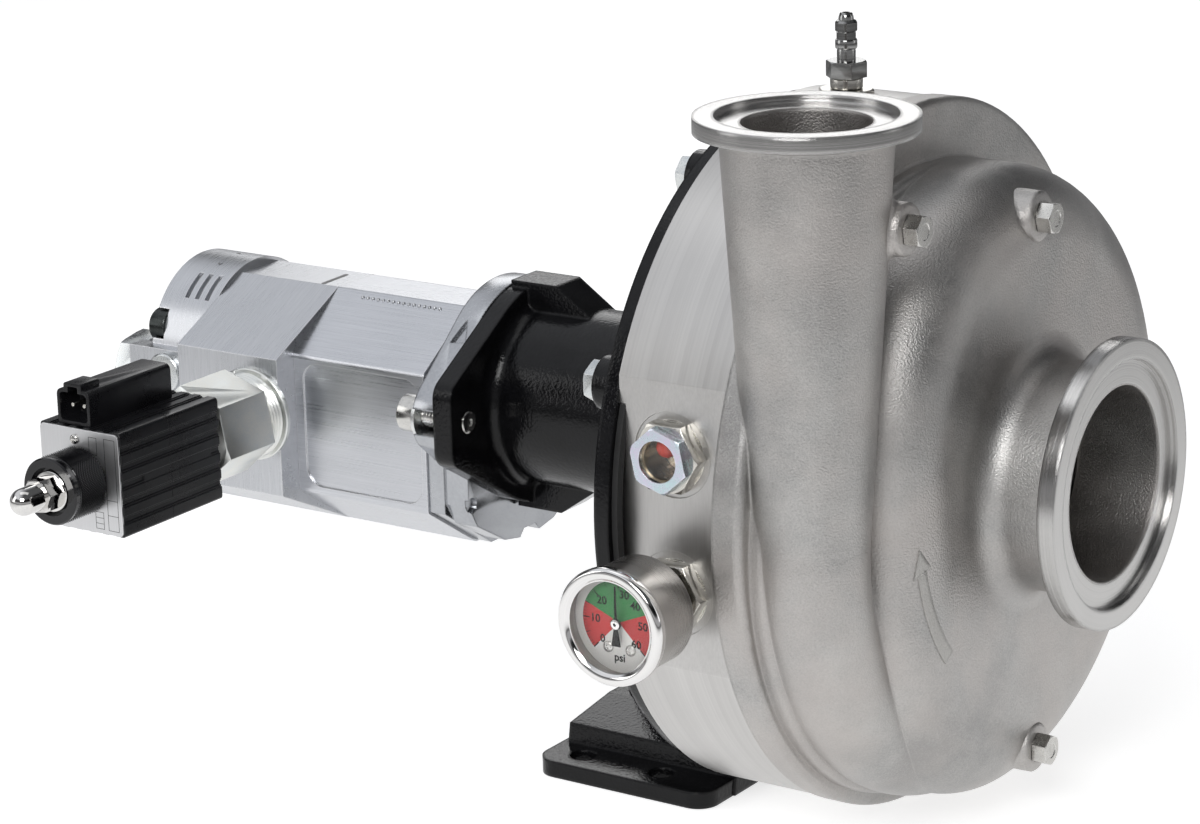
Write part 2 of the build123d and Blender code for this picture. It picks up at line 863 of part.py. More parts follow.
mounting_frame.part.label = "mounting_frame"
export_step(mounting_frame.part, "parts/mounting_frame.step")

with BuildPart() as frame_bolts:
    with BuildSketch(across(frame_bolt_face)):
        with PolarLocations(frame_bolt_circle_r, frame_bolt_count, start_angle=frame_bolt_start):
            Circle(frame_bolt_dia / 2)
    extrude(amount=frame_bolt_length)
    with BuildSketch(across(frame_bolt_face)):
        with PolarLocations(frame_bolt_circle_r, frame_bolt_count, start_angle=frame_bolt_start):
            RegularPolygon(frame_bolt_hex / 2, 6, major_radius=False)
    extrude(amount=-frame_bolt_head)
    chamfer(frame_bolts.faces().sort_by(Axis.Y)[-frame_bolt_count:].edges(), 0.8)
frame_bolts.part.label = "frame_bolts"
export_step(frame_bolts.part, "parts/frame_bolts.step")

# Pump shaft: stainless, threaded nose for the impeller nut, keyed socket for the motor shaft.
hub_front = scroll_plane - 14.0
hub_back_face = -drum_dish - hub_gap
nose_r = shaft_nose_dia / 2
shaft_r = shaft_dia / 2
nut_front = hub_front - washer_thick - nut_height
shaft_tail = mount_face - shaft_tail_room
socket_end = shaft_tail - socket_depth
key_front = hub_front + 4.0
coupling_key_start = socket_end + 5.0
coupling_key_length = 18.0
coupling_key_width = 4.0
fit_gap = 0.05

with BuildPart() as pump_shaft:
    add(
        turned(
            [
                (nut_front - 1.5, 0),
                (nut_front - 1.5, shaft_thread_dia / 2),
                (hub_front, shaft_thread_dia / 2),
                (hub_front, nose_r),
                (hub_back_face, nose_r),
                (hub_back_face, shaft_r),
                (front_bearing_at + bearing_width, shaft_r),
                (front_bearing_at + bearing_width, shaft_shoulder_dia / 2),
                (rear_bearing_at, shaft_shoulder_dia / 2),
                (rear_bearing_at, shaft_r),
                (shaft_tail, shaft_r),
                (shaft_tail, socket_dia / 2),
                (socket_end, socket_dia / 2),
                (socket_end, 0),
            ]
        ).part
    )
    with BuildSketch(across(key_front + key_length + fit_gap)):
        with Locations((0, nose_r)):
            Rectangle(key_width + 2 * fit_gap, key_height + 2 * fit_gap)
    extrude(amount=key_length + 2 * fit_gap, mode=Mode.SUBTRACT)
    with BuildSketch(across(shaft_tail)):
        with Locations((0, socket_dia / 2)):
            Rectangle(coupling_key_width + 2 * fit_gap, coupling_key_width + 2 * fit_gap)
    extrude(amount=shaft_tail - coupling_key_start + fit_gap, mode=Mode.SUBTRACT)
pump_shaft.part.label = "pump_shaft"
export_step(pump_shaft.part, "parts/pump_shaft.step")

with BuildPart() as impeller_key:
    with BuildSketch(across(key_front + key_length)):
        with Locations((0, nose_r)):
            Rectangle(key_width, key_height)
    extrude(amount=key_length)
impeller_key.part.label = "impeller_key"
export_step(impeller_key.part, "parts/impeller_key.step")

# Closed impeller: rear shroud with hub, six swept vanes and a front shroud with its eye ring.
impeller_r = impeller_dia / 2
outlet_back = scroll_plane + impeller_outlet / 2
outlet_front = scroll_plane - impeller_outlet / 2
eye_r = impeller_eye_dia / 2
eye_front = wear_seat_front + 1.0
vane_inner_r = 33.0
vane_steps = 6

rear_shroud = turned(
    [
        (hub_back_face, nose_r + fit_gap),
        (hub_back_face, hub_dia / 2),
        (outlet_back + shroud_thick, hub_dia / 2),
        (outlet_back + shroud_thick, impeller_r),
        (outlet_back, impeller_r),
        (outlet_back - 2.5, eye_r + 9),
        (hub_front + 6, hub_dia / 2),
        (hub_front, hub_nose_dia / 2),
        (hub_front, nose_r + fit_gap),
    ]
)
front_shroud = turned(
    [
        (outlet_front, impeller_r),
        (outlet_front - 5.5, eye_r + 24),
        (outlet_front - 11.5, eye_r + 7),
        (outlet_front - 16.5, eye_r),
        (eye_front, eye_r),
        (eye_front, eye_ring_dia / 2),
        (outlet_front - 17.5, eye_ring_dia / 2),
        (outlet_front - 11.5 - shroud_thick, eye_r + 11),
        (outlet_front - 5.5 - shroud_thick, eye_r + 25),
        (outlet_front - shroud_thick, impeller_r),
    ]
)
vane_room = turned(
    [
        (outlet_back + 1, impeller_r - 0.5),
        (outlet_back - 1.5, eye_r + 9),
        (hub_front + 8, vane_inner_r - 8),
        (outlet_front - 15.0, vane_inner_r),
        (outlet_front - 12.5, eye_r + 7),
        (outlet_front - 6.5, eye_r + 24),
        (outlet_front - 1, impeller_r - 0.5),
    ]
)


def vane_point(share, lag):
    radius = vane_inner_r + (impeller_r + 1 - vane_inner_r) * share
    angle = vane_sweep * share**0.8 + lag
    return radius * cos(radians(angle)), radius * sin(radians(angle))


vane_lag = vane_slant * degrees(vane_thick / (vane_mean_share * impeller_r))
leading = [vane_point(i / vane_steps, 0) for i in range(vane_steps + 1)]
trailing = [vane_point(i / vane_steps, vane_lag) for i in range(vane_steps + 1)]
with BuildPart() as vanes:
    with BuildSketch(across(outlet_back + 2)):
        with PolarLocations(0, vane_count):
            with BuildLine():
                Spline(*leading)
                Line(leading[-1], trailing[-1])
                Spline(*reversed(trailing))
                Line(trailing[0], leading[0])
            make_face()
    extrude(amount=outlet_back - outlet_front + 18)
    add(vane_room.part, mode=Mode.INTERSECT)

with BuildPart() as impeller:
    add(rear_shroud.part)
    add(front_shroud.part)
    add(vanes.part)
    with BuildSketch(across(hub_back_face)):
        with Locations((0, nose_r)):
            Rectangle(key_width + 2 * fit_gap, key_height + 2 * fit_gap)
    extrude(amount=hub_back_face - hub_front, mode=Mode.SUBTRACT)
impeller.part.label = "impeller"
export_step(impeller.part, "parts/impeller.step")

with BuildPart() as impeller_nut:
    with BuildSketch(across(hub_front - washer_thick)):
        RegularPolygon(nut_hex / 2, 6, major_radius=False)
        Circle(shaft_thread_dia / 2 + fit_gap, mode=Mode.SUBTRACT)
    extrude(amount=nut_height)
impeller_nut.part.label = "impeller_nut"
export_step(impeller_nut.part, "parts/impeller_nut.step")

impeller_washer = turned(
    tube_outline(hub_front - washer_thick, hub_front, shaft_thread_dia / 2 + fit_gap, washer_dia / 2)
)
impeller_washer.part.label = "impeller_washer"
export_step(impeller_washer.part, "parts/impeller_washer.step")

# Mechanical seals: stationary seats in the drum and the frame, heads that turn with the shaft and
# a rubber bellows that presses the heads apart.
with BuildPart() as seal_seats:
    for start in (front_seat_front, drum_depth):
        add(turned(tube_outline(start, start + seal_seat_thick, shaft_hole_r, seal_seat_r)).part)
seal_seats.part.label = "seal_seats"
export_step(seal_seats.part, "parts/seal_seats.step")

front_head_start = front_seat_back + seal_gap
front_head_end = front_head_start + seal_head_length
rear_head_end = drum_depth - seal_gap
rear_head_start = rear_head_end - seal_head_length
seal_inner_r = shaft_r + fit_gap
seal_face_r = seal_face_dia / 2
with BuildPart() as seal_heads:
    for face_end, back_end in ((front_head_start, front_head_end), (rear_head_end, rear_head_start)):
        step = 1 if back_end > face_end else -1
        add(
            turned(
                [
                    (face_end, seal_inner_r),
                    (face_end, seal_face_r - 1.5),
                    (face_end + step * 3, seal_face_r - 1.5),
                    (face_end + step * 3, seal_face_r),
                    (back_end, seal_face_r),
                    (back_end, seal_inner_r),
                ]
            ).part
        )
seal_heads.part.label = "seal_heads"
export_step(seal_heads.part, "parts/seal_heads.step")

bellows_folds = 5
bellows_depth = 3.5
bellows_wall = 1.6
bellows_pitch = (rear_head_start - front_head_end) / bellows_folds
bellows_low = []
bellows_high = []
for fold in range(bellows_folds):
    begin = front_head_end + fold * bellows_pitch
    bellows_low.append((begin, seal_inner_r + bellows_wall))
    bellows_low.append((begin + bellows_pitch / 2, seal_inner_r + bellows_wall + bellows_depth))
    bellows_high.append((begin, seal_inner_r))
    bellows_high.append((begin + bellows_pitch / 2, seal_inner_r + bellows_depth))
bellows_low.append((rear_head_start, seal_inner_r + bellows_wall))
bellows_high.append((rear_head_start, seal_inner_r))
seal_bellows = turned(bellows_low + bellows_high[::-1])
seal_bellows.part.label = "seal_bellows"
export_step(seal_bellows.part, "parts/seal_bellows.step")

# Two deep groove ball bearings, a spacer tube between them and the ring that holds them.
ball_r = 5.2
ball_circle_r = (shaft_r + bearing_r) / 2
ball_count = 8
ball_gap = 0.05
bearing_starts = (front_bearing_at, rear_bearing_at)


def grooved_race(start, inner_r, outer_r):
    middle = start + bearing_width / 2
    with BuildPart() as race:
        with BuildSketch(along):
            with BuildLine():
                Polyline(*tube_outline(start, start + bearing_width, inner_r, outer_r), close=True)
            make_face()
            with Locations((middle, ball_circle_r)):
                Circle(ball_r + ball_gap, mode=Mode.SUBTRACT)
        revolve(axis=shaft_axis)
    return race


with BuildPart() as bearing_outer_rings:
    for start in bearing_starts:
        add(grooved_race(start, bearing_r - race_thick, bearing_r).part)
bearing_outer_rings.part.label = "bearing_outer_rings"
export_step(bearing_outer_rings.part, "parts/bearing_outer_rings.step")

with BuildPart() as bearing_inner_rings:
    for start in bearing_starts:
        add(grooved_race(start, shaft_r, shaft_r + race_thick).part)
bearing_inner_rings.part.label = "bearing_inner_rings"
export_step(bearing_inner_rings.part, "parts/bearing_inner_rings.step")

with BuildPart() as bearing_balls:
    for start in bearing_starts:
        with Locations(across(start + bearing_width / 2)):
            with PolarLocations(ball_circle_r, ball_count):
                Sphere(ball_r)
bearing_balls.part.label = "bearing_balls"
export_step(bearing_balls.part, "parts/bearing_balls.step")

bearing_spacer = turned(
    tube_outline(front_bearing_at + bearing_width, rear_bearing_at, bearing_r - spacer_thick, bearing_r)
)
bearing_spacer.part.label = "bearing_spacer"
export_step(bearing_spacer.part, "parts/bearing_spacer.step")

ring_opening = 9.0
with BuildPart() as snap_ring:
    with BuildSketch(across(snap_groove_at + snap_ring_thick)):
        Circle(ring_groove_dia / 2 - 0.1)
        Circle(bearing_r - spacer_thick, mode=Mode.SUBTRACT)
        with Locations((0, -bearing_r)):
            Rectangle(ring_opening, ring_opening, mode=Mode.SUBTRACT)
    extrude(amount=snap_ring_thick)
snap_ring.part.label = "snap_ring"
export_step(snap_ring.part, "parts/snap_ring.step")

# Hexagon plugs in the vent, the drain and the nozzle.
with BuildPart() as pipe_plugs:
    for x, z, face in plug_sites:
        add(hex_prism(across(face), [(x, z)], plug_hex, plug_hex_height).part)
        with BuildSketch(across(face)):
            with Locations((x, z)):
                Circle(plug_thread_dia / 2)
        extrude(amount=-plug_thread_length)
pipe_plugs.part.label = "pipe_plugs"
export_step(pipe_plugs.part, "parts/pipe_plugs.step")

# Reducing bushes in both side ports.
bush_face_x = seat_x + bush_hex_length
bush_inner_r = bush_bore_dia / 2
ports = [(-port_at, sight_port_z), (-port_at, gauge_port_z)]
with BuildPart() as port_bushes:
    add(hex_prism(side(seat_x), ports, bush_hex, bush_hex_length, 30).part)
    with BuildSketch(side(seat_x)):
        with Locations(*ports):
            Circle(port_r)
    extrude(amount=-bush_depth)
    with BuildSketch(side(seat_x - bush_depth)):
        with Locations(*ports):
            Circle(bush_inner_r)
    extrude(amount=bush_depth + bush_hex_length, mode=Mode.SUBTRACT)
port_bushes.part.label = "port_bushes"
export_step(port_bushes.part, "parts/port_bushes.step")

# Sight plug with a glass and a red float that rises in the barrier fluid.
sight_face_x = bush_face_x + sight_hex_length
sight_inner_x = seat_x - bush_depth
glass_face_x = sight_face_x - sight_lip
with BuildPart() as sight_plug:
    add(hex_prism(side(bush_face_x), ports[:1], sight_hex, sight_hex_length, 12).part)
    add(
        turned_out(disc_cap(sight_inner_x, bush_face_x, bush_inner_r - thread_gap), port_at, sight_port_z).part
    )
    add(
        turned_out(
            disc_cap(sight_inner_x + sight_floor, glass_face_x, sight_bore_dia / 2), port_at, sight_port_z
        ).part,
        mode=Mode.SUBTRACT,
    )
    add(
        turned_out(disc_cap(glass_face_x, sight_face_x, sight_lip_dia / 2), port_at, sight_port_z).part,
        mode=Mode.SUBTRACT,
    )
    add(
        turned_out(
            disc_cap(sight_inner_x, sight_inner_x + sight_floor, gauge_bore_dia / 2), port_at, sight_port_z
        ).part,
        mode=Mode.SUBTRACT,
    )
sight_plug.part.label = "sight_plug"
export_step(sight_plug.part, "parts/sight_plug.step")

sight_glass = turned_out(
    disc_cap(glass_face_x - sight_glass_thick, glass_face_x, sight_bore_dia / 2 - fit_gap),
    port_at,
    sight_port_z,
)
sight_glass.part.label = "sight_glass"
export_step(sight_glass.part, "parts/sight_glass.step")

float_gap = 0.2
float_x = glass_face_x - sight_glass_thick - float_gap - sight_float_dia / 2
float_z = sight_port_z + sight_bore_dia / 2 - float_gap - sight_float_dia / 2
with BuildPart() as sight_float:
    with Locations((-float_x, seam_y + port_at, shaft_height + float_z)):
        Sphere(sight_float_dia / 2)
sight_float.part.label = "sight_float"
export_step(sight_float.part, "parts/sight_float.step")

# Pressure gauge: stem, cup, dial with two screws, pointer, lens and a rolled bezel.
gauge_back_x = gauge_front_x - gauge_depth
gauge_case_r = gauge_case_dia / 2
gauge_case_end = gauge_front_x - gauge_lip - gauge_lens_thick
gauge_inner_r = gauge_case_r - gauge_case_wall
gauge_floor_x = gauge_back_x + gauge_case_wall
dial_face_x = gauge_case_end - gauge_dial_back
stem_r = gauge_stem_dia / 2
stem_hex_start = bush_face_x + 2.0
stem_hex_length = 6.0
with BuildPart() as gauge_stem:
    add(
        turned_out(
            disc_cap(sight_inner_x, bush_face_x, bush_inner_r - thread_gap), port_at, gauge_port_z
        ).part
    )
    add(turned_out(disc_cap(bush_face_x, gauge_floor_x, stem_r), port_at, gauge_port_z).part)
    add(hex_prism(side(stem_hex_start), ports[1:], gauge_stem_hex, stem_hex_length, 30).part)
    add(
        turned_out(disc_cap(sight_inner_x, gauge_floor_x, gauge_bore_dia / 2), port_at, gauge_port_z).part,
        mode=Mode.SUBTRACT,
    )
gauge_stem.part.label = "gauge_stem"
export_step(gauge_stem.part, "parts/gauge_stem.step")

gauge_case = turned_out(
    [
        (gauge_back_x, stem_r + fit_gap),
        (gauge_back_x, gauge_case_r - 1.0),
        (gauge_back_x + 1.0, gauge_case_r),
        (gauge_case_end, gauge_case_r),
        (gauge_case_end, gauge_inner_r),
        (gauge_floor_x, gauge_inner_r),
        (gauge_floor_x, stem_r + fit_gap),
    ],
    port_at,
    gauge_port_z,
)
gauge_case.part.label = "gauge_case"
export_step(gauge_case.part, "parts/gauge_case.step")

bezel_r = gauge_bezel_dia / 2
gauge_bezel = turned_out(
    [
        (gauge_front_x - gauge_bezel_width, gauge_case_r + fit_gap),
        (gauge_front_x - gauge_bezel_width, bezel_r - 0.6),
        (gauge_front_x - gauge_bezel_width + 0.6, bezel_r),
        (gauge_front_x - 1.2, bezel_r),
        (gauge_front_x, bezel_r - 1.2),
        (gauge_front_x, gauge_window_dia / 2 + 1.4),
        (gauge_front_x - gauge_lip, gauge_window_dia / 2),
        (gauge_front_x - gauge_lip, gauge_case_r + fit_gap),
    ],
    port_at,
    gauge_port_z,
)
gauge_bezel.part.label = "gauge_bezel"
export_step(gauge_bezel.part, "parts/gauge_bezel.step")

gauge_lens = turned_out(
    disc_cap(gauge_case_end, gauge_case_end + gauge_lens_thick, gauge_case_r), port_at, gauge_port_z
)
gauge_lens.part.label = "gauge_lens"
export_step(gauge_lens.part, "parts/gauge_lens.step")

pivot_r = 0.6
dial_back_x = dial_face_x - gauge_dial_thick
dial_screw_r = dial_screw_dia / 2
screw_shank_r = 1.1
dial_screw_spots = [
    (-port_at - dial_screw_at, gauge_port_z - dial_screw_drop),
    (-port_at + dial_screw_at, gauge_port_z - dial_screw_drop),
]
with BuildPart() as gauge_dial:
    with BuildSketch(side(dial_back_x)):
        with Locations(ports[1]):
            Circle(gauge_inner_r - fit_gap)
            Circle(pivot_r + 2 * fit_gap, mode=Mode.SUBTRACT)
        with Locations(*dial_screw_spots):
            Circle(screw_shank_r + fit_gap, mode=Mode.SUBTRACT)
    extrude(amount=gauge_dial_thick)
gauge_dial.part.label = "gauge_dial"
export_step(gauge_dial.part, "parts/gauge_dial.step")

dial_screw_head = 1.0
dial_screw_reach = 4.0
with BuildPart() as dial_screws:
    with BuildSketch(side(dial_face_x)):
        with Locations(*dial_screw_spots):
            Circle(dial_screw_r)
    extrude(amount=dial_screw_head, taper=20)
    with BuildSketch(side(dial_face_x)):
        with Locations(*dial_screw_spots):
            Circle(screw_shank_r)
    extrude(amount=-dial_screw_reach)
dial_screws.part.label = "dial_screws"
export_step(dial_screws.part, "parts/dial_screws.step")

pointer_x = dial_face_x + dial_screw_head + pointer_gap
pivot_back_x = dial_back_x - 6.0
pointer_plane = Plane(
    origin=(-pointer_x, seam_y + port_at, shaft_height + gauge_port_z), x_dir=(0, -1, 0), z_dir=(-1, 0, 0)
)
with BuildPart() as gauge_pointer:
    with BuildSketch(pointer_plane):
        Circle(pointer_hub_dia / 2)
        with BuildLine():
            Polyline(
                (-pointer_width / 2, 0),
                (-pointer_width / 5, pointer_length),
                (pointer_width / 5, pointer_length),
                (pointer_width / 2, 0),
                (pointer_tail_width / 2, -pointer_tail),
                (-pointer_tail_width / 2, -pointer_tail),
                close=True,
            )
        make_face()
    extrude(amount=pointer_thick)
    add(
        turned_out(disc_cap(pivot_back_x, pointer_x + 2 * pointer_thick, pivot_r), port_at, gauge_port_z).part
    )
gauge_pointer.part.label = "gauge_pointer"
export_step(gauge_pointer.part, "parts/gauge_pointer.step")

# Air filling nipple in a bush on top of the drum, with its spring loaded pin.
fill_axis = Axis((0, seam_y + port_at, shaft_height), (0, 0, 1))
fill_spot = [(0, seam_y + port_at)]
bush_top_z = nipple_seat_z + nipple_bush_height
bush_foot_z = drum_inner_r + 1.0
ring_top_z = bush_top_z + nipple_ring_height
nipple_levels = [2.8, 4.4, 3.1, 3.6]
collar_bevel = 0.4
with BuildPart() as nipple_bush:
    bush_plane = Plane.XY.offset(shaft_height + nipple_seat_z)
    add(hex_prism(bush_plane, fill_spot, nipple_bush_hex, nipple_bush_height, 10).part)
    with BuildSketch(bush_plane):
        with Locations(*fill_spot):
            Circle(fill_thread_dia / 2)
    extrude(amount=bush_foot_z - nipple_seat_z)
    with BuildSketch(Plane.XY.offset(shaft_height + bush_foot_z)):
        with Locations(*fill_spot):
            Circle(nipple_thread_dia / 2 + thread_gap)
    extrude(amount=bush_top_z - bush_foot_z, mode=Mode.SUBTRACT)
nipple_bush.part.label = "nipple_bush"
export_step(nipple_bush.part, "parts/nipple_bush.step")

cone_z = nipple_tip_z - nipple_levels[0]
collar_z = cone_z - nipple_levels[1]
neck_z = collar_z - nipple_levels[2]
second_collar_z = neck_z - nipple_levels[3]
nipple_bore_r = nipple_bore_dia / 2
tip_r = nipple_bore_r + 0.4
collar_r = nipple_collar_dia / 2
with BuildPart() as fill_nipple:
    add(
        turned(
            [
                (bush_foot_z, nipple_bore_r),
                (bush_foot_z, nipple_thread_dia / 2),
                (bush_top_z, nipple_thread_dia / 2),
                (bush_top_z, nipple_ring_dia / 2),
                (ring_top_z, nipple_ring_dia / 2),
                (ring_top_z, nipple_stem_dia / 2),
                (second_collar_z - collar_bevel, nipple_stem_dia / 2),
                (second_collar_z, collar_r - collar_bevel),
                (second_collar_z + collar_bevel, collar_r),
                (neck_z - collar_bevel, collar_r),
                (neck_z, nipple_neck_dia / 2),
                (collar_z, nipple_neck_dia / 2),
                (collar_z + collar_bevel, collar_r),
                (cone_z - collar_bevel, collar_r),
                (cone_z, collar_r - collar_bevel),
                (cone_z, nipple_stem_dia / 2 - 0.8),
                (nipple_tip_z, tip_r),
                (nipple_tip_z, nipple_bore_r),
            ],
            standing(port_at),
            fill_axis,
        ).part
    )
    with BuildPart(mode=Mode.PRIVATE) as nut_blank:
        add(
            hex_prism(
                Plane.XY.offset(shaft_height + ring_top_z), fill_spot, nipple_hex, nipple_hex_height
            ).part
        )
        with BuildSketch(Plane.XY.offset(shaft_height + ring_top_z)):
            with Locations(*fill_spot):
                Circle(nipple_stem_dia / 2 - 0.5)
        extrude(amount=nipple_hex_height, mode=Mode.SUBTRACT)
    add(nut_blank.part)
fill_nipple.part.label = "fill_nipple"
export_step(fill_nipple.part, "parts/fill_nipple.step")

pin_top_z = nipple_tip_z - 1.0
fill_valve_pin = turned(
    disc_cap(bush_foot_z + 4.0, pin_top_z, nipple_pin_dia / 2), standing(port_at), fill_axis
)
fill_valve_pin.part.label = "fill_valve_pin"
export_step(fill_valve_pin.part, "parts/fill_valve_pin.step")

# Gear motor. Front cover with the two bolt flange, pilot and shaft seal.
cover_face = mount_face + cover_flange_thick
cover_end = mount_face + cover_depth
body_end = cover_end + body_length
block_end = body_end + block_length
rear_end = block_end + rear_length
rear_box_end = rear_end + rear_box_step
gear_start = cover_end + gear_inset
valve_at = body_end + valve_inset
connector_at = valve_at + connector_shift
shaft_bore_r = journal_dia / 2 + 0.1
motor_shaft_r = motor_shaft_dia / 2
body_corners = [
    (-body_flat_half, body_top),
    (body_flat_half, body_top),
    (body_half_width, body_crease_top),
    (body_half_width, body_crease_bottom),
    (body_flat_half, body_bottom),
    (-body_flat_half, body_bottom),
    (-body_half_width, body_crease_bottom),
    (-body_half_width, body_crease_top),
]
skirt_corners = [(43.0, -8.0), (43.0, -41.0), (37.0, -51.0), (18.0, -62.0), (7.0, -64.0), (4.0, -60.7)]
motor_bolts = [
    (motor_bolt_x, motor_bolt_high),
    (-motor_bolt_x, motor_bolt_high),
    (motor_bolt_x, motor_bolt_low),
    (-motor_bolt_x, motor_bolt_low),
]
motor_bolt_tip = mount_face + 5.0
mount_spots = [(-mount_bolt_x, 0), (mount_bolt_x, 0)]
washer_room = 0.6
motor_hole_r = motor_bolt_dia / 2 + thread_gap
with BuildPart() as motor_front_cover:
    with BuildSketch(across(cover_face)):
        Circle(cover_circle_r)
        with Locations((-cover_ear_x, 0), (cover_ear_x, 0)):
            Circle(cover_ear_r)
        make_hull()
        with BuildLine():
            Polyline(*skirt_corners, *[(-x, z) for x, z in reversed(skirt_corners)], close=True)
        make_face()
    extrude(amount=cover_flange_thick)
    with BuildSketch(across(cover_end)):
        with BuildLine():
            Polyline(*body_corners, close=True)
        make_face()
        offset(amount=-1.0, kind=Kind.INTERSECTION, mode=Mode.REPLACE)
    extrude(amount=cover_end - cover_face)
    with BuildSketch(across(mount_face)):
        Circle(pilot_r)
    extrude(amount=pilot_length)
    with BuildSketch(across(cover_end)):
        with Locations((-cover_ear_x - cover_ear_r, 0), (cover_ear_x + cover_ear_r, 0)):
            SlotCenterToCenter(2 * (cover_ear_x + cover_ear_r - mount_bolt_x), cover_slot_width)
    extrude(amount=cover_depth, mode=Mode.SUBTRACT)
    with BuildSketch(across(cover_end)):
        with Locations(*mount_spots):
            Circle(mount_washer_dia / 2 + washer_room)
    extrude(amount=cover_end - cover_face, mode=Mode.SUBTRACT)
    with BuildSketch(across(cover_end)):
        Circle(shaft_bore_r)
    extrude(amount=cover_depth + pilot_length, mode=Mode.SUBTRACT)
    with BuildSketch(across(mount_face - pilot_length + lip_seal_thick)):
        Circle(lip_seal_dia / 2 + thread_gap)
    extrude(amount=lip_seal_thick, mode=Mode.SUBTRACT)
    with BuildSketch(across(cover_end)):
        with Locations(*motor_bolts):
            Circle(motor_hole_r)
    extrude(amount=cover_end - motor_bolt_tip + 1, mode=Mode.SUBTRACT)
motor_front_cover.part.label = "motor_front_cover"
export_step(motor_front_cover.part, "parts/motor_front_cover.step")

lip_gap = 0.05
motor_shaft_seal = turned(
    tube_outline(
        mount_face - pilot_length,
        mount_face - pilot_length + lip_seal_thick,
        motor_shaft_r + lip_gap,
        lip_seal_dia / 2,
    )
)
motor_shaft_seal.part.label = "motor_shaft_seal"
export_step(motor_shaft_seal.part, "parts/motor_shaft_seal.step")

mount_washer_face = cover_face + mount_washer_thick
mount_bolt_tip = mount_face - mount_flange_thick - 0.4
with BuildPart() as mount_washers:
    with BuildSketch(across(mount_washer_face)):
        with Locations(*mount_spots):
            Circle(mount_washer_dia / 2)
            Circle(mount_bolt_dia / 2 + thread_gap, mode=Mode.SUBTRACT)
    extrude(amount=mount_washer_thick)
mount_washers.part.label = "mount_washers"
export_step(mount_washers.part, "parts/mount_washers.step")

with BuildPart() as mount_bolts:
    with BuildSketch(across(mount_washer_face)):
        with Locations(*mount_spots):
            Circle(mount_bolt_dia / 2)
    extrude(amount=mount_washer_face - mount_bolt_tip)
    with BuildSketch(across(mount_washer_face)):
        with Locations(*mount_spots):
            Circle(mount_bolt_head_dia / 2)
    extrude(amount=-mount_bolt_head)
mount_bolts.part.label = "mount_bolts"
export_step(mount_bolts.part, "parts/mount_bolts.step")

# Motor body: an extruded section bored for the two gears, with a milled panel on each side.
pitch_r = gear_centres / 2
gear_tip_r = pitch_r + gear_addendum
gear_cavity_r = gear_tip_r + gear_tip_gap
gear_spots = [(0, 0), (0, -gear_centres)]
panel_start = cover_end + 2.5
panel_end = body_end - 4.5
panel_round = 8.0
panel_middle_z = (body_crease_top + body_crease_bottom) / 2
panel_height = body_crease_top - body_crease_bottom - 2 * body_round
with BuildPart() as motor_body:
    with BuildSketch(across(body_end)):
        with BuildLine():
            Polyline(*body_corners, close=True)
        make_face()
        fillet(vertices(), body_round)
    extrude(amount=body_end - cover_end)
    for face_x, outward_sign in ((body_half_width, 1), (-body_half_width, -1)):
        with BuildSketch(side(face_x)):
            with Locations((-(panel_start + panel_end) / 2, panel_middle_z)):
                RectangleRounded(panel_end - panel_start, panel_height, panel_round)
        extrude(amount=-outward_sign * side_panel_depth, mode=Mode.SUBTRACT)
    with BuildSketch(across(body_end)):
        with Locations(*gear_spots):
            Circle(gear_cavity_r)
        with Locations(*motor_bolts):
            Circle(motor_hole_r)
    extrude(amount=body_end - cover_end, mode=Mode.SUBTRACT)
motor_body.part.label = "motor_body"
export_step(motor_body.part, "parts/motor_body.step")

block_gap = 0.05
with BuildPart() as bearing_blocks:
    for block_start, block_stop in (
        (cover_end + block_gap, gear_start - gear_side_gap),
        (gear_start + gear_width + gear_side_gap, body_end - block_gap),
    ):
        with BuildSketch(across(block_stop)):
            with Locations(*gear_spots):
                Circle(gear_tip_r)
            with Locations(*gear_spots):
                Circle(journal_dia / 2 + journal_gap, mode=Mode.SUBTRACT)
        extrude(amount=block_stop - block_start)
bearing_blocks.part.label = "bearing_blocks"
export_step(bearing_blocks.part, "parts/bearing_blocks.step")

# The gears have involute teeth; each flank is drawn through points of the curve.
flank_points = 6
base_r = pitch_r * cos(radians(gear_pressure_angle))
root_r = pitch_r - gear_dedendum


def involute(radius):
    slope = acos(min(1.0, base_r / radius))
    return tan(slope) - slope


half_tooth = (pi * pitch_r / gear_teeth - gear_backlash / 2) / pitch_r / 2
flank_zero = half_tooth + involute(pitch_r)


def gear_outline(turn, height):
    points = []
    for tooth in range(gear_teeth):
        middle = turn + 2 * pi * tooth / gear_teeth
        radii = [base_r + (gear_tip_r - base_r) * i / (flank_points - 1) for i in range(flank_points)]
        right_flank = [(root_r, middle - flank_zero)]
        right_flank += [(radius, middle - flank_zero + involute(radius)) for radius in radii]
        left_flank = [(radius, 2 * middle - angle) for radius, angle in reversed(right_flank)]
        points += right_flank + left_flank
    return [(radius * cos(angle), height + radius * sin(angle)) for radius, angle in points]


def gear_with_journals(turn, height, start, end):
    with BuildPart() as gear:
        with BuildSketch(across(gear_start + gear_width)):
            with BuildLine():
                Polyline(*gear_outline(turn, height), close=True)
            make_face()
        extrude(amount=gear_width)
        with BuildSketch(across(end)):
            with Locations((0, height)):
                Circle(journal_dia / 2)
        extrude(amount=end - start)
    return gear


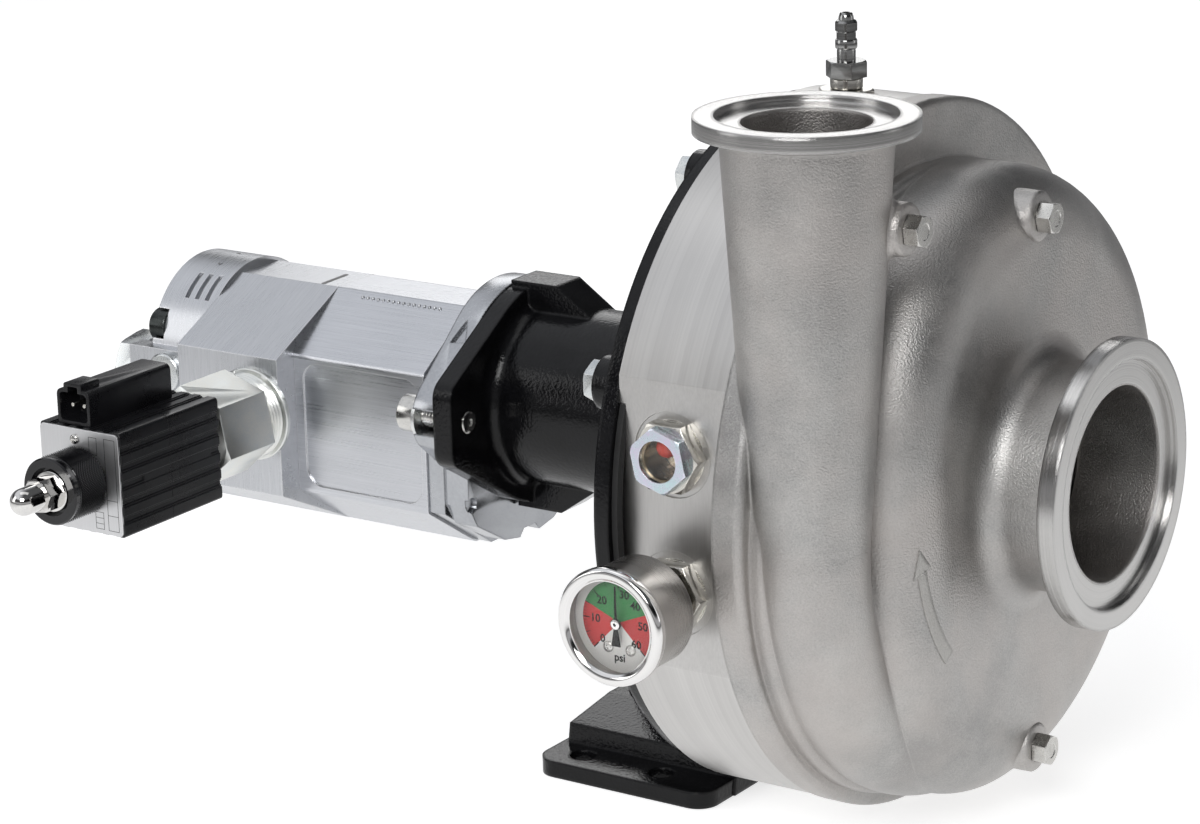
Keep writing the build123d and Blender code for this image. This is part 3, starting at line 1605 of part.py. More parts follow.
journal_start = cover_end - 2.0
journal_end = body_end - 1.1
motor_shaft_end = socket_end + 1.0
with BuildPart() as drive_gear:
    add(gear_with_journals(0, 0, journal_start, journal_end).part)
    with BuildSketch(across(journal_start)):
        Circle(motor_shaft_r)
    extrude(amount=journal_start - motor_shaft_end)
    with BuildSketch(across(coupling_key_start + coupling_key_length + fit_gap)):
        with Locations((0, socket_dia / 2)):
            Rectangle(coupling_key_width + 2 * fit_gap, coupling_key_width + 2 * fit_gap)
    extrude(amount=coupling_key_start + coupling_key_length - motor_shaft_end + 1, mode=Mode.SUBTRACT)
drive_gear.part.label = "drive_gear"
export_step(drive_gear.part, "parts/drive_gear.step")

idler_gear = gear_with_journals(pi / gear_teeth, -gear_centres, cover_end + 1.0, journal_end)
idler_gear.part.label = "idler_gear"
export_step(idler_gear.part, "parts/idler_gear.step")

with BuildPart() as coupling_key:
    with BuildSketch(across(coupling_key_start + coupling_key_length)):
        with Locations((0, socket_dia / 2)):
            Rectangle(coupling_key_width, coupling_key_width)
    extrude(amount=coupling_key_length)
coupling_key.part.label = "coupling_key"
export_step(coupling_key.part, "parts/coupling_key.step")

# Manifold block between body and rear cover, machined for the cartridge valve.
with BuildPart() as manifold_block:
    with BuildSketch(across(block_end)):
        with BuildLine():
            Polyline(
                (-body_flat_half, body_top),
                *body_corners[1:6],
                (-block_side_x, body_crease_bottom),
                (-block_side_x, body_crease_top),
                close=True,
            )
        make_face()
    extrude(amount=block_end - body_end)
    with BuildSketch(across(block_end)):
        with Locations(*motor_bolts):
            Circle(motor_hole_r)
    extrude(amount=block_end - body_end, mode=Mode.SUBTRACT)
    add(
        turned_out(
            disc_cap(block_side_x - valve_cavity_depth, block_side_x, valve_cavity_dia / 2), valve_at, valve_z
        ).part,
        mode=Mode.SUBTRACT,
    )
manifold_block.part.label = "manifold_block"
export_step(manifold_block.part, "parts/manifold_block.step")

# Rear cover: rounded top with three slots and a box for the ports.
head_seat = rear_end - 6.0
head_spot_r = motor_bolt_head_dia / 2 + 1.0
side_plug_at = 338.7
side_plug_z = -3.0
side_plug_dia = 17.0
side_plug_thread_dia = 14.0
side_plug_depth = 8.0
rear_plug_x = -28.0
rear_plug_z = -8.0
rear_plug_hex = 27.0
rear_plug_height = 12.0
rear_plug_thread_dia = 22.0
rear_plug_depth = 10.0
slot_pitch = 5.5
slot_length = 14.0
slot_angle = 38.0
with BuildPart() as motor_rear_cover:
    with BuildSketch(across(rear_end)):
        Circle(rear_round_r)
        with BuildLine():
            Polyline(
                (-body_half_width, rear_box_top),
                (body_half_width, rear_box_top),
                *body_corners[3:7],
                close=True,
            )
        make_face()
    extrude(amount=rear_end - block_end)
    with BuildSketch(across(rear_box_end)):
        with BuildLine():
            Polyline(
                (-body_half_width, rear_box_top),
                (body_half_width, rear_box_top),
                *body_corners[3:7],
                close=True,
            )
        make_face()
    extrude(amount=rear_box_end - rear_end)
    with BuildSketch(across(rear_box_end)):
        with Locations(*motor_bolts):
            Circle(motor_hole_r)
    extrude(amount=rear_box_end - block_end, mode=Mode.SUBTRACT)
    with BuildSketch(across(rear_box_end)):
        with Locations(*motor_bolts[:2]):
            Circle(head_spot_r)
    extrude(amount=rear_box_end - head_seat, mode=Mode.SUBTRACT)
    with BuildSketch(across(rear_box_end)):
        with Locations((rear_plug_x, rear_plug_z)):
            Circle(rear_plug_thread_dia / 2 + thread_gap)
    extrude(amount=rear_plug_depth + 1, mode=Mode.SUBTRACT)
    with BuildSketch(side(body_half_width)):
        with Locations((-side_plug_at, side_plug_z)):
            Circle(side_plug_thread_dia / 2 + thread_gap)
    extrude(amount=-side_plug_depth - 1, mode=Mode.SUBTRACT)
    slot_plane = Plane(
        origin=(
            -rear_round_r * sin(radians(slot_angle)),
            seam_y + block_end + slot_pitch,
            shaft_height + rear_round_r * cos(radians(slot_angle)),
        ),
        x_dir=(0, 1, 0),
        z_dir=(-sin(radians(slot_angle)), 0, cos(radians(slot_angle))),
    )
    with BuildSketch(slot_plane):
        with Locations((0, 0), (slot_pitch, 0), (2 * slot_pitch, 0)):
            Rectangle(rear_slot_width, slot_length)
    extrude(amount=-rear_slot_depth, mode=Mode.SUBTRACT)
motor_rear_cover.part.label = "motor_rear_cover"
export_step(motor_rear_cover.part, "parts/motor_rear_cover.step")

with BuildPart() as motor_through_bolts:
    for spots, seat in ((motor_bolts[:2], head_seat), (motor_bolts[2:], rear_box_end)):
        with BuildSketch(across(seat)):
            with Locations(*spots):
                Circle(motor_bolt_dia / 2)
        extrude(amount=seat - motor_bolt_tip)
        with BuildSketch(across(seat)):
            with Locations(*spots):
                Circle(motor_bolt_head_dia / 2)
                RegularPolygon(cap_screw_socket / 2, 6, major_radius=False, mode=Mode.SUBTRACT)
        extrude(amount=-motor_bolt_head)
motor_through_bolts.part.label = "motor_through_bolts"
export_step(motor_through_bolts.part, "parts/motor_through_bolts.step")

side_plug_head = 3.5
side_plug_socket = 8.0
with BuildPart() as side_port_plug:
    with BuildSketch(side(body_half_width)):
        with Locations((-side_plug_at, side_plug_z)):
            Circle(side_plug_dia / 2)
    extrude(amount=side_plug_head)
    with BuildSketch(side(body_half_width)):
        with Locations((-side_plug_at, side_plug_z)):
            Circle(side_plug_thread_dia / 2)
    extrude(amount=-side_plug_depth)
    with BuildSketch(side(body_half_width + side_plug_head)):
        with Locations((-side_plug_at, side_plug_z)):
            RegularPolygon(side_plug_socket / 2, 6, major_radius=False)
    extrude(amount=-side_plug_depth, mode=Mode.SUBTRACT)
side_port_plug.part.label = "side_port_plug"
export_step(side_port_plug.part, "parts/side_port_plug.step")

rear_facing = Plane(
    origin=(0, seam_y + rear_box_end, shaft_height), x_dir=(-1, 0, 0), z_dir=(0, 1, 0)
)
rear_plug_spot = [(-rear_plug_x, rear_plug_z)]
with BuildPart() as rear_port_plug:
    add(hex_prism(rear_facing, rear_plug_spot, rear_plug_hex, rear_plug_height).part)
    with BuildSketch(rear_facing):
        with Locations(*rear_plug_spot):
            Circle(rear_plug_thread_dia / 2)
    extrude(amount=-rear_plug_depth)
rear_port_plug.part.label = "rear_port_plug"
export_step(rear_port_plug.part, "parts/rear_port_plug.step")

# Cartridge valve: threaded nose, hexagon and the tube the coil slides on.
valve_hex_x = block_side_x + valve_collar_length
valve_neck_x = valve_hex_x + valve_hex_length
valve_spot = [(-valve_at, valve_z)]
nose_x = block_side_x - valve_cavity_depth + 1.0
nose_r_valve = valve_cavity_dia / 2 - thread_gap
collar_wide_r = valve_collar_dia / 2
collar_narrow_r = collar_wide_r - 2.5
spool_bore_r = spool_dia / 2 + spool_gap
spool_room = spool_length + spool_stroke + 3.0
tube_r = tube_dia / 2
with BuildPart() as valve_body:
    add(
        turned_out(
            [
                (nose_x, 0),
                (nose_x, nose_r_valve),
                (block_side_x, nose_r_valve),
                (block_side_x, collar_wide_r),
                (block_side_x + 2.6, collar_wide_r),
                (block_side_x + 3.2, collar_narrow_r),
                (block_side_x + 4.4, collar_narrow_r),
                (block_side_x + 5.0, collar_wide_r - 1.0),
                (valve_hex_x, collar_wide_r - 1.0),
                (valve_hex_x, tube_r),
                (tube_end_x, tube_r),
                (tube_end_x, 0),
            ],
            valve_at,
            valve_z,
        ).part
    )
    add(hex_prism(side(valve_hex_x), valve_spot, valve_hex, valve_hex_length, 30).part)
    add(
        hex_prism(side(valve_neck_x), valve_spot, valve_neck_hex, coil_near_x - valve_neck_x - 0.1).part
    )
    add(
        turned_out(disc_cap(nose_x, nose_x + spool_room, spool_bore_r), valve_at, valve_z).part,
        mode=Mode.SUBTRACT,
    )
valve_body.part.label = "valve_body"
export_step(valve_body.part, "parts/valve_body.step")

land_depth = 1.5
spool_start = nose_x + 1.5
spool_r = spool_dia / 2
valve_spool = turned_out(
    [
        (spool_start, 0),
        (spool_start, spool_r),
        (spool_start + 9, spool_r),
        (spool_start + 9, spool_r - land_depth),
        (spool_start + 14, spool_r - land_depth),
        (spool_start + 14, spool_r),
        (spool_start + spool_length, spool_r),
        (spool_start + spool_length, 0),
    ],
    valve_at,
    valve_z,
)
valve_spool.part.label = "valve_spool"
export_step(valve_spool.part, "parts/valve_spool.step")

# Solenoid coil: moulded block with ribs along it, a plate, a connector and a knurled nut.
coil_length = coil_far_x - coil_near_x
coil_bore_r = tube_r + coil_bore_gap
rib_pitch_y = coil_width / coil_rib_count
rib_pitch_z = coil_height / coil_rib_count
rib_groove = 2.2
with BuildPart() as coil:
    with BuildSketch(side(coil_near_x)):
        with Locations(*valve_spot):
            RectangleRounded(coil_width, coil_height, 1.5)
            Circle(coil_bore_r, mode=Mode.SUBTRACT)
            for edge in (-coil_width / 2, coil_width / 2):
                with Locations((edge, 0)):
                    with GridLocations(1, rib_pitch_z, 1, coil_rib_count - 1):
                        Rectangle(2 * coil_rib_depth, rib_groove, mode=Mode.SUBTRACT)
            for edge in (-coil_height / 2, coil_height / 2):
                with Locations((0, edge)):
                    with GridLocations(rib_pitch_y, 1, coil_rib_count - 1, 1):
                        Rectangle(rib_groove, 2 * coil_rib_depth, mode=Mode.SUBTRACT)
    extrude(amount=coil_length)
coil.part.label = "coil"
export_step(coil.part, "parts/coil.step")

plate_screw_y = 284.7
plate_screw_z = 5.7
plate_screw_dia = 4.2
plate_screw_shank = 2.4
screw_spot = [(-plate_screw_y, plate_screw_z)]
plate_round = 2.0
with BuildPart() as name_plate:
    with BuildSketch(side(coil_far_x)):
        with Locations(*valve_spot):
            RectangleRounded(coil_width - 1, coil_height - 1, plate_round)
            Circle(coil_bore_r, mode=Mode.SUBTRACT)
        with Locations(*screw_spot):
            Circle(plate_screw_shank / 2 + fit_gap, mode=Mode.SUBTRACT)
    extrude(amount=plate_thick)
name_plate.part.label = "coil_plate"
export_step(name_plate.part, "parts/coil_plate.step")

with BuildPart() as plate_screw:
    with BuildSketch(side(coil_far_x + plate_thick)):
        with Locations(*screw_spot):
            Circle(plate_screw_dia / 2)
    extrude(amount=1.4, taper=25)
    with BuildSketch(side(coil_far_x)):
        with Locations(*screw_spot):
            Circle(plate_screw_shank / 2)
    extrude(amount=plate_thick)
plate_screw.part.label = "plate_screw"
export_step(plate_screw.part, "parts/plate_screw.step")

connector_base_z = valve_z + coil_height / 2
connector_middle_z = connector_base_z + connector_height / 2
connector_spot = (-connector_at, connector_middle_z)
connector_length = connector_far_x - connector_near_x
connector_round = 2.5
latch_width = 8.0
latch_height = 2.4
latch_length = 11.0
with BuildPart() as connector:
    with BuildSketch(side(connector_near_x)):
        with Locations(connector_spot):
            Rectangle(connector_width, connector_height)
    extrude(amount=connector_length)
    far_top = connector.edges().filter_by(Axis.X).group_by(Axis.Z)[-1]
    fillet(far_top, connector_round)
    with BuildSketch(side(connector_far_x)):
        with Locations((-connector_at, connector_base_z + connector_height + latch_height / 2)):
            Rectangle(latch_width, latch_height + 1)
    extrude(amount=-latch_length)
    with BuildSketch(side(connector_far_x)):
        with Locations((-connector_at, connector_middle_z)):
            RectangleRounded(
                connector_width - 2 * connector_wall,
                connector_height - 2 * connector_wall,
                connector_round - 0.6,
            )
        with Locations((-connector_at, connector_base_z + connector_height)):
            Rectangle(latch_width - 2 * connector_wall, latch_height + connector_wall)
    extrude(amount=-connector_mouth, mode=Mode.SUBTRACT)
connector.part.label = "connector"
export_step(connector.part, "parts/connector.step")

pin_spread = 6.0
with BuildPart() as connector_pins:
    with BuildSketch(side(connector_far_x - connector_mouth)):
        with Locations((-connector_at, connector_middle_z)):
            with GridLocations(pin_spread, 1, 2, 1):
                Circle(pin_dia / 2)
    extrude(amount=pin_length)
connector_pins.part.label = "connector_pins"
export_step(connector_pins.part, "parts/connector_pins.step")

knob_near_x = coil_far_x + plate_thick + 0.1
knob_r = knob_dia / 2
mouth_x = tube_end_x - 0.5
coil_nut = turned_out(
    [
        (knob_near_x, tube_r + fit_gap),
        (knob_near_x, knob_r - 0.8),
        (knob_near_x + 0.8, knob_r),
        (knob_end_x - 0.8, knob_r),
        (knob_end_x, knob_r - 0.8),
        (knob_end_x, knob_mouth_dia / 2),
        (mouth_x, knob_mouth_dia / 2),
        (mouth_x, tube_r + fit_gap),
    ],
    valve_at,
    valve_z,
)
coil_nut.part.label = "coil_nut"
export_step(coil_nut.part, "parts/coil_nut.step")

acorn_hex_x = tube_end_x + acorn_collar
dome_r = acorn_dome_dia / 2
with BuildPart() as acorn_nut:
    add(turned_out(disc_cap(tube_end_x, acorn_hex_x, acorn_collar_dia / 2), valve_at, valve_z).part)
    add(hex_prism(side(acorn_hex_x), valve_spot, acorn_hex, acorn_hex_length).part)
    with BuildPart(mode=Mode.PRIVATE) as dome:
        with BuildSketch(side(acorn_hex_x)):
            with Locations(*valve_spot):
                Circle(dome_r)
        extrude(amount=acorn_tip_x - acorn_hex_x)
        fillet(dome.faces().sort_by(Axis.X)[0].edges(), dome_r - 0.4)
    add(dome.part)
acorn_nut.part.label = "acorn_nut"
export_step(acorn_nut.part, "parts/acorn_nut.step")
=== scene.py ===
from math import atan2, cos, degrees, hypot, radians, sin

import bpy
from mathutils import Matrix, Vector


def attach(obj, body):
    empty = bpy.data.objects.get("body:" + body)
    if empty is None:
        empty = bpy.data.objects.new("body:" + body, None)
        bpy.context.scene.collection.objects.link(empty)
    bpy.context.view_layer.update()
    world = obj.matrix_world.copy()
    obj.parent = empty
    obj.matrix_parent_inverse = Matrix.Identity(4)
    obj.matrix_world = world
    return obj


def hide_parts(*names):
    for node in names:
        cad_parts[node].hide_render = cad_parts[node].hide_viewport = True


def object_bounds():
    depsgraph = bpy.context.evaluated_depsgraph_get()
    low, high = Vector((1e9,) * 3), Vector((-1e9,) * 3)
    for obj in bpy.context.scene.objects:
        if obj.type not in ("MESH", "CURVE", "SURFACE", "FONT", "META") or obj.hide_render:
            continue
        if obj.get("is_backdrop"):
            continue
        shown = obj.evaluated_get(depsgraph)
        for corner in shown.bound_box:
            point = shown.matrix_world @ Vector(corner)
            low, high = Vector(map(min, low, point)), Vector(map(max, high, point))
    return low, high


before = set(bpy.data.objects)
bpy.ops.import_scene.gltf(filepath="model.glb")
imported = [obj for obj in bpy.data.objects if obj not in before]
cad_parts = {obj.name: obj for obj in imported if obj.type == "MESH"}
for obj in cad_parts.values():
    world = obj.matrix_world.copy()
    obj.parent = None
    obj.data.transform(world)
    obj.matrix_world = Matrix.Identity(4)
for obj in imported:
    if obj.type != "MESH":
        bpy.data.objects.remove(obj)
cad_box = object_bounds()
bpy.ops.object.select_all(action="DESELECT")

# Camera: stands to the left of the suction side, a little above the shaft, with a long lens that
# keeps the flanges nearly parallel.
camera_at = Vector((-1.23598, -0.80364, 0.57229))
camera_turn, camera_rise, camera_roll = radians(-55.61), radians(16.21), radians(-1.46)
camera_data = bpy.data.cameras.new("camera")
camera_data.lens = 112.81
camera_data.sensor_width = 36
camera_data.clip_start = 0.05
camera_data.clip_end = 30
camera = bpy.data.objects.new("camera", camera_data)
bpy.context.collection.objects.link(camera)
facing = Matrix.Rotation(camera_turn, 4, "Z") @ Matrix.Rotation(radians(90) - camera_rise, 4, "X")
camera.matrix_world = Matrix.Translation(camera_at) @ facing @ Matrix.Rotation(camera_roll, 4, "Z")
bpy.context.scene.camera = camera
bpy.context.scene.view_settings.view_transform = "Standard"

# Studio: a pale floor that keeps the shadow, a white backdrop for what looks straight at it, and
# large soft lamps. Mirrors see a room that darkens towards the camera, so the metal has its shape.
vectors = "VectorMath"


def add(tree, kind):
    return tree.nodes.new("ShaderNode" + kind)


def feed(tree, socket, value):
    if isinstance(value, (int, float, tuple)):
        socket.default_value = value
    else:
        tree.links.new(value, socket)


def operate(tree, operation, *values, kind="Math"):
    node = add(tree, kind)
    node.operation = operation
    for index, value in enumerate(values):
        feed(tree, node.inputs[index], value)
    return node.outputs["Value"] if operation in ("LENGTH", "DOT_PRODUCT") else node.outputs[0]


def spread_over(tree, value, low, high, first, second):
    node = add(tree, "MapRange")
    for label, amount in zip(("Value", "From Min", "From Max", "To Min", "To Max"), (value, low, high, first, second)):
        feed(tree, node.inputs[label], amount)
    return node.outputs[0]


def blend(tree, share, first, second):
    node = add(tree, "Mix")
    node.data_type = "RGBA"
    tree.links.new(share, node.inputs["Factor"])
    for label, value in (("A", first), ("B", second)):
        target = [socket for socket in node.inputs if socket.name == label and socket.type == "RGBA"][0]
        feed(tree, target, (*value, 1) if isinstance(value, tuple) else value)
    return [socket for socket in node.outputs if socket.type == "RGBA"][0]


def bare_tree(owner, output_kind):
    owner.use_nodes = True
    tree = owner.node_tree
    tree.nodes.clear()
    return tree, add(tree, output_kind).inputs["Surface"], add(tree, "LightPath").outputs


bpy.ops.mesh.primitive_plane_add(size=7, location=(0, 0, -0.0004))
floor = bpy.context.object
floor.name = "floor"
floor_paint = bpy.data.materials.new("floor_paint")
tree, surface, rays = bare_tree(floor_paint, "OutputMaterial")
mirrored = rays["Is Glossy Ray"]
place = add(tree, "TexCoord").outputs["Object"]
reach = operate(tree, "LENGTH", place, kind=vectors)
dim = operate(tree, "MULTIPLY", spread_over(tree, reach, 0.5, 1.5, 0, 0.85), mirrored)
matt = add(tree, "BsdfDiffuse")
tree.links.new(blend(tree, dim, (0.60, 0.60, 0.60), (0.03, 0.03, 0.03)), matt.inputs["Color"])
white = operate(tree, "MULTIPLY_ADD", mirrored, 0.64, rays["Is Transmission Ray"])
white = operate(tree, "MULTIPLY", white, operate(tree, "SUBTRACT", 1, dim))
glow = add(tree, "Emission")
tree.links.new(operate(tree, "MULTIPLY_ADD", rays["Is Camera Ray"], 0.72, white), glow.inputs["Strength"])
both = add(tree, "AddShader")
tree.links.new(matt.outputs[0], both.inputs[0])
tree.links.new(glow.outputs[0], both.inputs[1])
tree.links.new(both.outputs[0], surface)
floor.data.materials.append(floor_paint)
floor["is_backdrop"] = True

studio = bpy.data.worlds.new("studio")
tree, surface, rays = bare_tree(studio, "OutputWorld")
direction = add(tree, "TexCoord").outputs["Generated"]
axes = add(tree, "SeparateXYZ")
tree.links.new(direction, axes.inputs[0])
height = axes.outputs["Z"]
wall = add(tree, "ValToRGB")
wall.color_ramp.interpolation = "EASE"
wall.color_ramp.elements[0].position = 0.42
wall.color_ramp.elements[0].color = (0.38, 0.38, 0.38, 1)
wall.color_ramp.elements[1].position = 0.82
wall.color_ramp.elements[1].color = (0.85, 0.87, 0.91, 1)
for stop, grey in ((0.56, 0.42), (0.65, 0.07), (0.72, 0.07)):
    wall.color_ramp.elements.new(stop).color = (grey, grey, grey * 1.03, 1)
tree.links.new(spread_over(tree, height, -1, 1, 0, 1), wall.inputs["Fac"])
side = operate(tree, "DOT_PRODUCT", direction, (-0.45, 0.89, 0), kind=vectors)
skirting = spread_over(tree, height, 0.15, 0.35, 1, 0)
level = operate(tree, "MAXIMUM", skirting, spread_over(tree, side, -0.15, 0.45, 0.12, 1))
room = add(tree, "Background")
tree.links.new(wall.outputs["Color"], room.inputs["Color"])
tree.links.new(level, room.inputs["Strength"])
backdrop = add(tree, "Background")
backdrop.inputs["Color"].default_value = (1, 1, 1, 1)
mix = add(tree, "MixShader")
seen = operate(tree, "MAXIMUM", rays["Is Camera Ray"], rays["Is Transmission Ray"])
tree.links.new(seen, mix.inputs["Fac"])
tree.links.new(room.outputs[0], mix.inputs[1])
tree.links.new(backdrop.outputs[0], mix.inputs[2])
tree.links.new(mix.outputs[0], surface)
bpy.context.scene.world = studio

lamps = [
    ("key_lamp", (-1.5, -0.55, 1.15), (0, -0.1, 0.15), (0.9, 0.7), 17),
    ("side_lamp", (-1.3, 1.5, 0.75), (0, 0.1, 0.15), (0.8, 1.1), 5),
    ("front_lamp", (1.0, -1.6, 0.75), (0, -0.15, 0.15), (0.5, 1.2), 2),
    ("top_lamp", (0.1, 0.1, 1.8), (0, 0, 0.1), (1.6, 0.8), 3),
    ("back_lamp", (1.5, 1.0, 1.0), (0, 0, 0.15), (0.8, 0.8), 4),
]
for name, place, aim, size, power in lamps:
    lamp_data = bpy.data.lights.new(name, "AREA")
    lamp_data.shape = "RECTANGLE"
    lamp_data.size, lamp_data.size_y = size
    lamp_data.energy = power
    lamp = bpy.data.objects.new(name, lamp_data)
    bpy.context.collection.objects.link(lamp)
    lamp.location = place
    lamp.rotation_euler = (Vector(aim) - Vector(place)).to_track_quat("-Z", "Y").to_euler()

# Mounting frame: grey iron casting under gloss black paint, which rounds the rough skin to an
# orange peel. Node groups made here, for grain, lathe rings, drawn lines and edges, serve all finishes.


def effect(name, inputs, outputs):
    group = bpy.data.node_groups.new(name, "ShaderNodeTree")
    for label, kind, value in inputs:
        socket = group.interface.new_socket(label, in_out="INPUT", socket_type=kind)
        socket.default_value = value
    for label, kind in outputs:
        group.interface.new_socket(label, in_out="OUTPUT", socket_type=kind)
    place = add(group, "TexCoord").outputs["Object"]
    return group, group.nodes.new("NodeGroupInput").outputs, group.nodes.new("NodeGroupOutput").inputs, place


def noise(tree, vector, scale, detail=3.0, roughness=0.55):
    node = add(tree, "TexNoise")
    for label, value in (("Detail", detail), ("Roughness", roughness), ("Vector", vector), ("Scale", scale)):
        feed(tree, node.inputs[label], value)
    return node.outputs[0]


number, vector3 = "NodeSocketFloat", "NodeSocketVector"
grain, given, result, place = effect(
    "grain",
    [("Grain Scale", number, 1500.0), ("Cloud Scale", number, 30.0)],
    [("Tone", number), ("Height", number)],
)
clouds = noise(grain, place, given["Cloud Scale"], 5.0, 0.6)
fine = noise(grain, place, given["Grain Scale"], 2.0)
speckle = operate(grain, "MULTIPLY_ADD", fine, 0.55, -0.28)
grain.links.new(operate(grain, "ADD", clouds, speckle), result["Tone"])
grain.links.new(fine, result["Height"])

rings, given, result, place = effect(
    "rings",
    [("Centre", vector3, (0, 0, 0.142)), ("Axis", vector3, (0, 1, 0)), ("Lines", number, 900.0)],
    [("Tone", number), ("Height", number), ("Along", number), ("Radius", number)],
)
offset = operate(rings, "SUBTRACT", place, given["Centre"], kind=vectors)
depth = operate(rings, "DOT_PRODUCT", offset, given["Axis"], kind=vectors)
crossed = operate(rings, "CROSS_PRODUCT", offset, given["Axis"], kind=vectors)
reach = operate(rings, "LENGTH", crossed, kind=vectors)
thread = add(rings, "CombineXYZ")
rings.links.new(depth, thread.inputs[0])
rings.links.new(reach, thread.inputs[1])
cuts = noise(rings, thread.outputs[0], given["Lines"], 4.0, 0.7)
bands = noise(rings, thread.outputs[0], 90.0, 2.0)
clouds = noise(rings, place, 25.0, 3.0)
tone = operate(rings, "MULTIPLY_ADD", cuts, 0.5, operate(rings, "MULTIPLY_ADD", bands, 0.3, 0.0))
rings.links.new(operate(rings, "MULTIPLY_ADD", clouds, 0.2, tone), result["Tone"])
rings.links.new(cuts, result["Height"])
rings.links.new(depth, result["Along"])
rings.links.new(reach, result["Radius"])

streaks, given, result, place = effect(
    "streaks",
    [("Stretch", vector3, (1200, 12, 1200)), ("Cloud Scale", number, 14.0)],
    [("Tone", number), ("Height", number)],
)
pulled = operate(streaks, "MULTIPLY", place, given["Stretch"], kind=vectors)
scratches = noise(streaks, pulled, 1.0, 5.0, 0.75)
clouds = noise(streaks, place, given["Cloud Scale"], 3.0)
tone = operate(streaks, "MULTIPLY_ADD", scratches, 0.75, operate(streaks, "MULTIPLY", clouds, 0.25))
streaks.links.new(tone, result["Tone"])
streaks.links.new(scratches, result["Height"])

# Edges: a lighter colour along every edge, hollow corners as well as standing ones, broken up by noise. It is partly
# wear and partly a painted highlight on the edges.
edges, given, result, place = effect(
    "edges",
    [("Wear and Highlight Scale", number, 160.0)],
    [("Wear and Highlight", number)],
)
soft = add(edges, "Bevel")
soft.samples = 4
soft.inputs["Radius"].default_value = 0.0009
true = add(edges, "NewGeometry")
facing = operate(edges, "DOT_PRODUCT", soft.outputs[0], true.outputs["Normal"], kind=vectors)
edge_breakup = noise(edges, place, given["Wear and Highlight Scale"], 4.0, 0.65)
bent = operate(edges, "SUBTRACT", 1.0, facing)
wear_and_highlight = operate(edges, "MULTIPLY", operate(edges, "MULTIPLY", bent, 9.0), edge_breakup)
lit = add(edges, "Clamp")
edges.links.new(wear_and_highlight, lit.inputs[0])
edges.links.new(lit.outputs[0], result["Wear and Highlight"])


def use(tree, group, **settings):
    node = add(tree, "Group")
    node.node_tree = group
    for label, value in settings.items():
        node.inputs[label.replace("_", " ")].default_value = value
    return node.outputs


def bump(tree, shader, height, strength, distance, soften):
    node = add(tree, "Bump")
    node.inputs["Strength"].default_value = strength
    node.inputs["Distance"].default_value = distance
    tree.links.new(height, node.inputs["Height"])
    if soften:
        soft = add(tree, "Bevel")
        soft.samples = 4
        soft.inputs["Radius"].default_value = soften
        tree.links.new(soft.outputs[0], node.inputs["Normal"])
    tree.links.new(node.outputs[0], shader.inputs["Normal"])


def by_tone(tree, pattern, first, second):
    return spread_over(tree, pattern["Tone"], 0.3, 0.7, first, second)


def finish(
    name, group, colours, roughness, relief, depth=0.0001, metallic=1, specular=0.5, wear_and_highlight=None, soften=0, **settings
):
    material = bpy.data.materials.new(name)
    material.use_nodes = True
    tree = material.node_tree
    shader = tree.nodes["Principled BSDF"]
    shader.inputs["Metallic"].default_value = metallic
    shader.inputs["Specular IOR Level"].default_value = specular
    pattern = use(tree, group, **settings)
    colour = blend(tree, by_tone(tree, pattern, 0, 1), *colours)
    # Lighter colour on the edges: partly wear, partly a painted highlight.
    if wear_and_highlight:
        colour = blend(tree, use(tree, edges)["Wear and Highlight"], colour, wear_and_highlight)
    tree.links.new(colour, shader.inputs["Base Color"])
    tree.links.new(by_tone(tree, pattern, *roughness), shader.inputs["Roughness"])
    bump(tree, shader, pattern["Height"], relief, depth, soften)
    return material


def coat(material, *nodes):
    for node in nodes:
        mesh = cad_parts[node].data
        mesh.materials.clear()
        mesh.materials.append(material)


black_paint = finish(
    "black_paint", grain, ((0.003, 0.003, 0.0035), (0.007, 0.007, 0.008)), (0.06, 0.13), 0.65, 0.0002,
    metallic=0, specular=0.24, soften=0.0018, Grain_Scale=760, Cloud_Scale=90,
)
coat(black_paint, "mounting_frame")

# Frame bolts: eight zinc plated hexagon screws that clamp frame, drum and casing together. The head
# is a hexagon cut by a turned cone on a round washer face, and the shank runs into the casing.
mm = 0.001
facing_back = (radians(-90), 0, 0)
facing_front = (radians(90), 0, 0)
facing_left = (radians(90), 0, radians(-90))
facing_up = (0, 0, 0)


def only(piece):
    bpy.ops.object.select_all(action="DESELECT")
    piece.select_set(True)
    bpy.context.view_layer.objects.active = piece


def begin(primitive, **settings):
    bpy.ops.object.select_all(action="DESELECT")
    primitive(**settings)
    return bpy.context.object


def mode(kind):
    bpy.ops.object.mode_set(mode=kind)


def close_up(merge=0.002):
    bpy.ops.mesh.select_all(action="SELECT")
    bpy.ops.mesh.remove_doubles(threshold=merge * mm)
    bpy.ops.mesh.normals_make_consistent(inside=False)
    mode("OBJECT")


def revolve(profile, steps=64, closed=False):
    height, radius = profile[0]
    begin(bpy.ops.mesh.primitive_circle_add, vertices=steps, radius=radius * mm)
    mode("EDIT")
    bpy.ops.mesh.select_all(action="SELECT")
    bpy.ops.transform.translate(value=(0, 0, height * mm))
    if not closed:
        bpy.ops.mesh.edge_face_add()
        bpy.ops.mesh.select_mode(type="EDGE")
    for next_height, next_radius in profile[1:]:
        if closed:
            bpy.ops.mesh.extrude_edges_move()
        else:
            bpy.ops.mesh.extrude_region_move()
        bpy.ops.transform.translate(value=(0, 0, (next_height - height) * mm))
        swell = next_radius / radius
        bpy.ops.transform.resize(value=(swell, swell, 1), center_override=(0, 0, next_height * mm))
        height, radius = next_height, next_radius
    bpy.ops.mesh.select_mode(type="VERT")
    close_up()
    return bpy.context.object


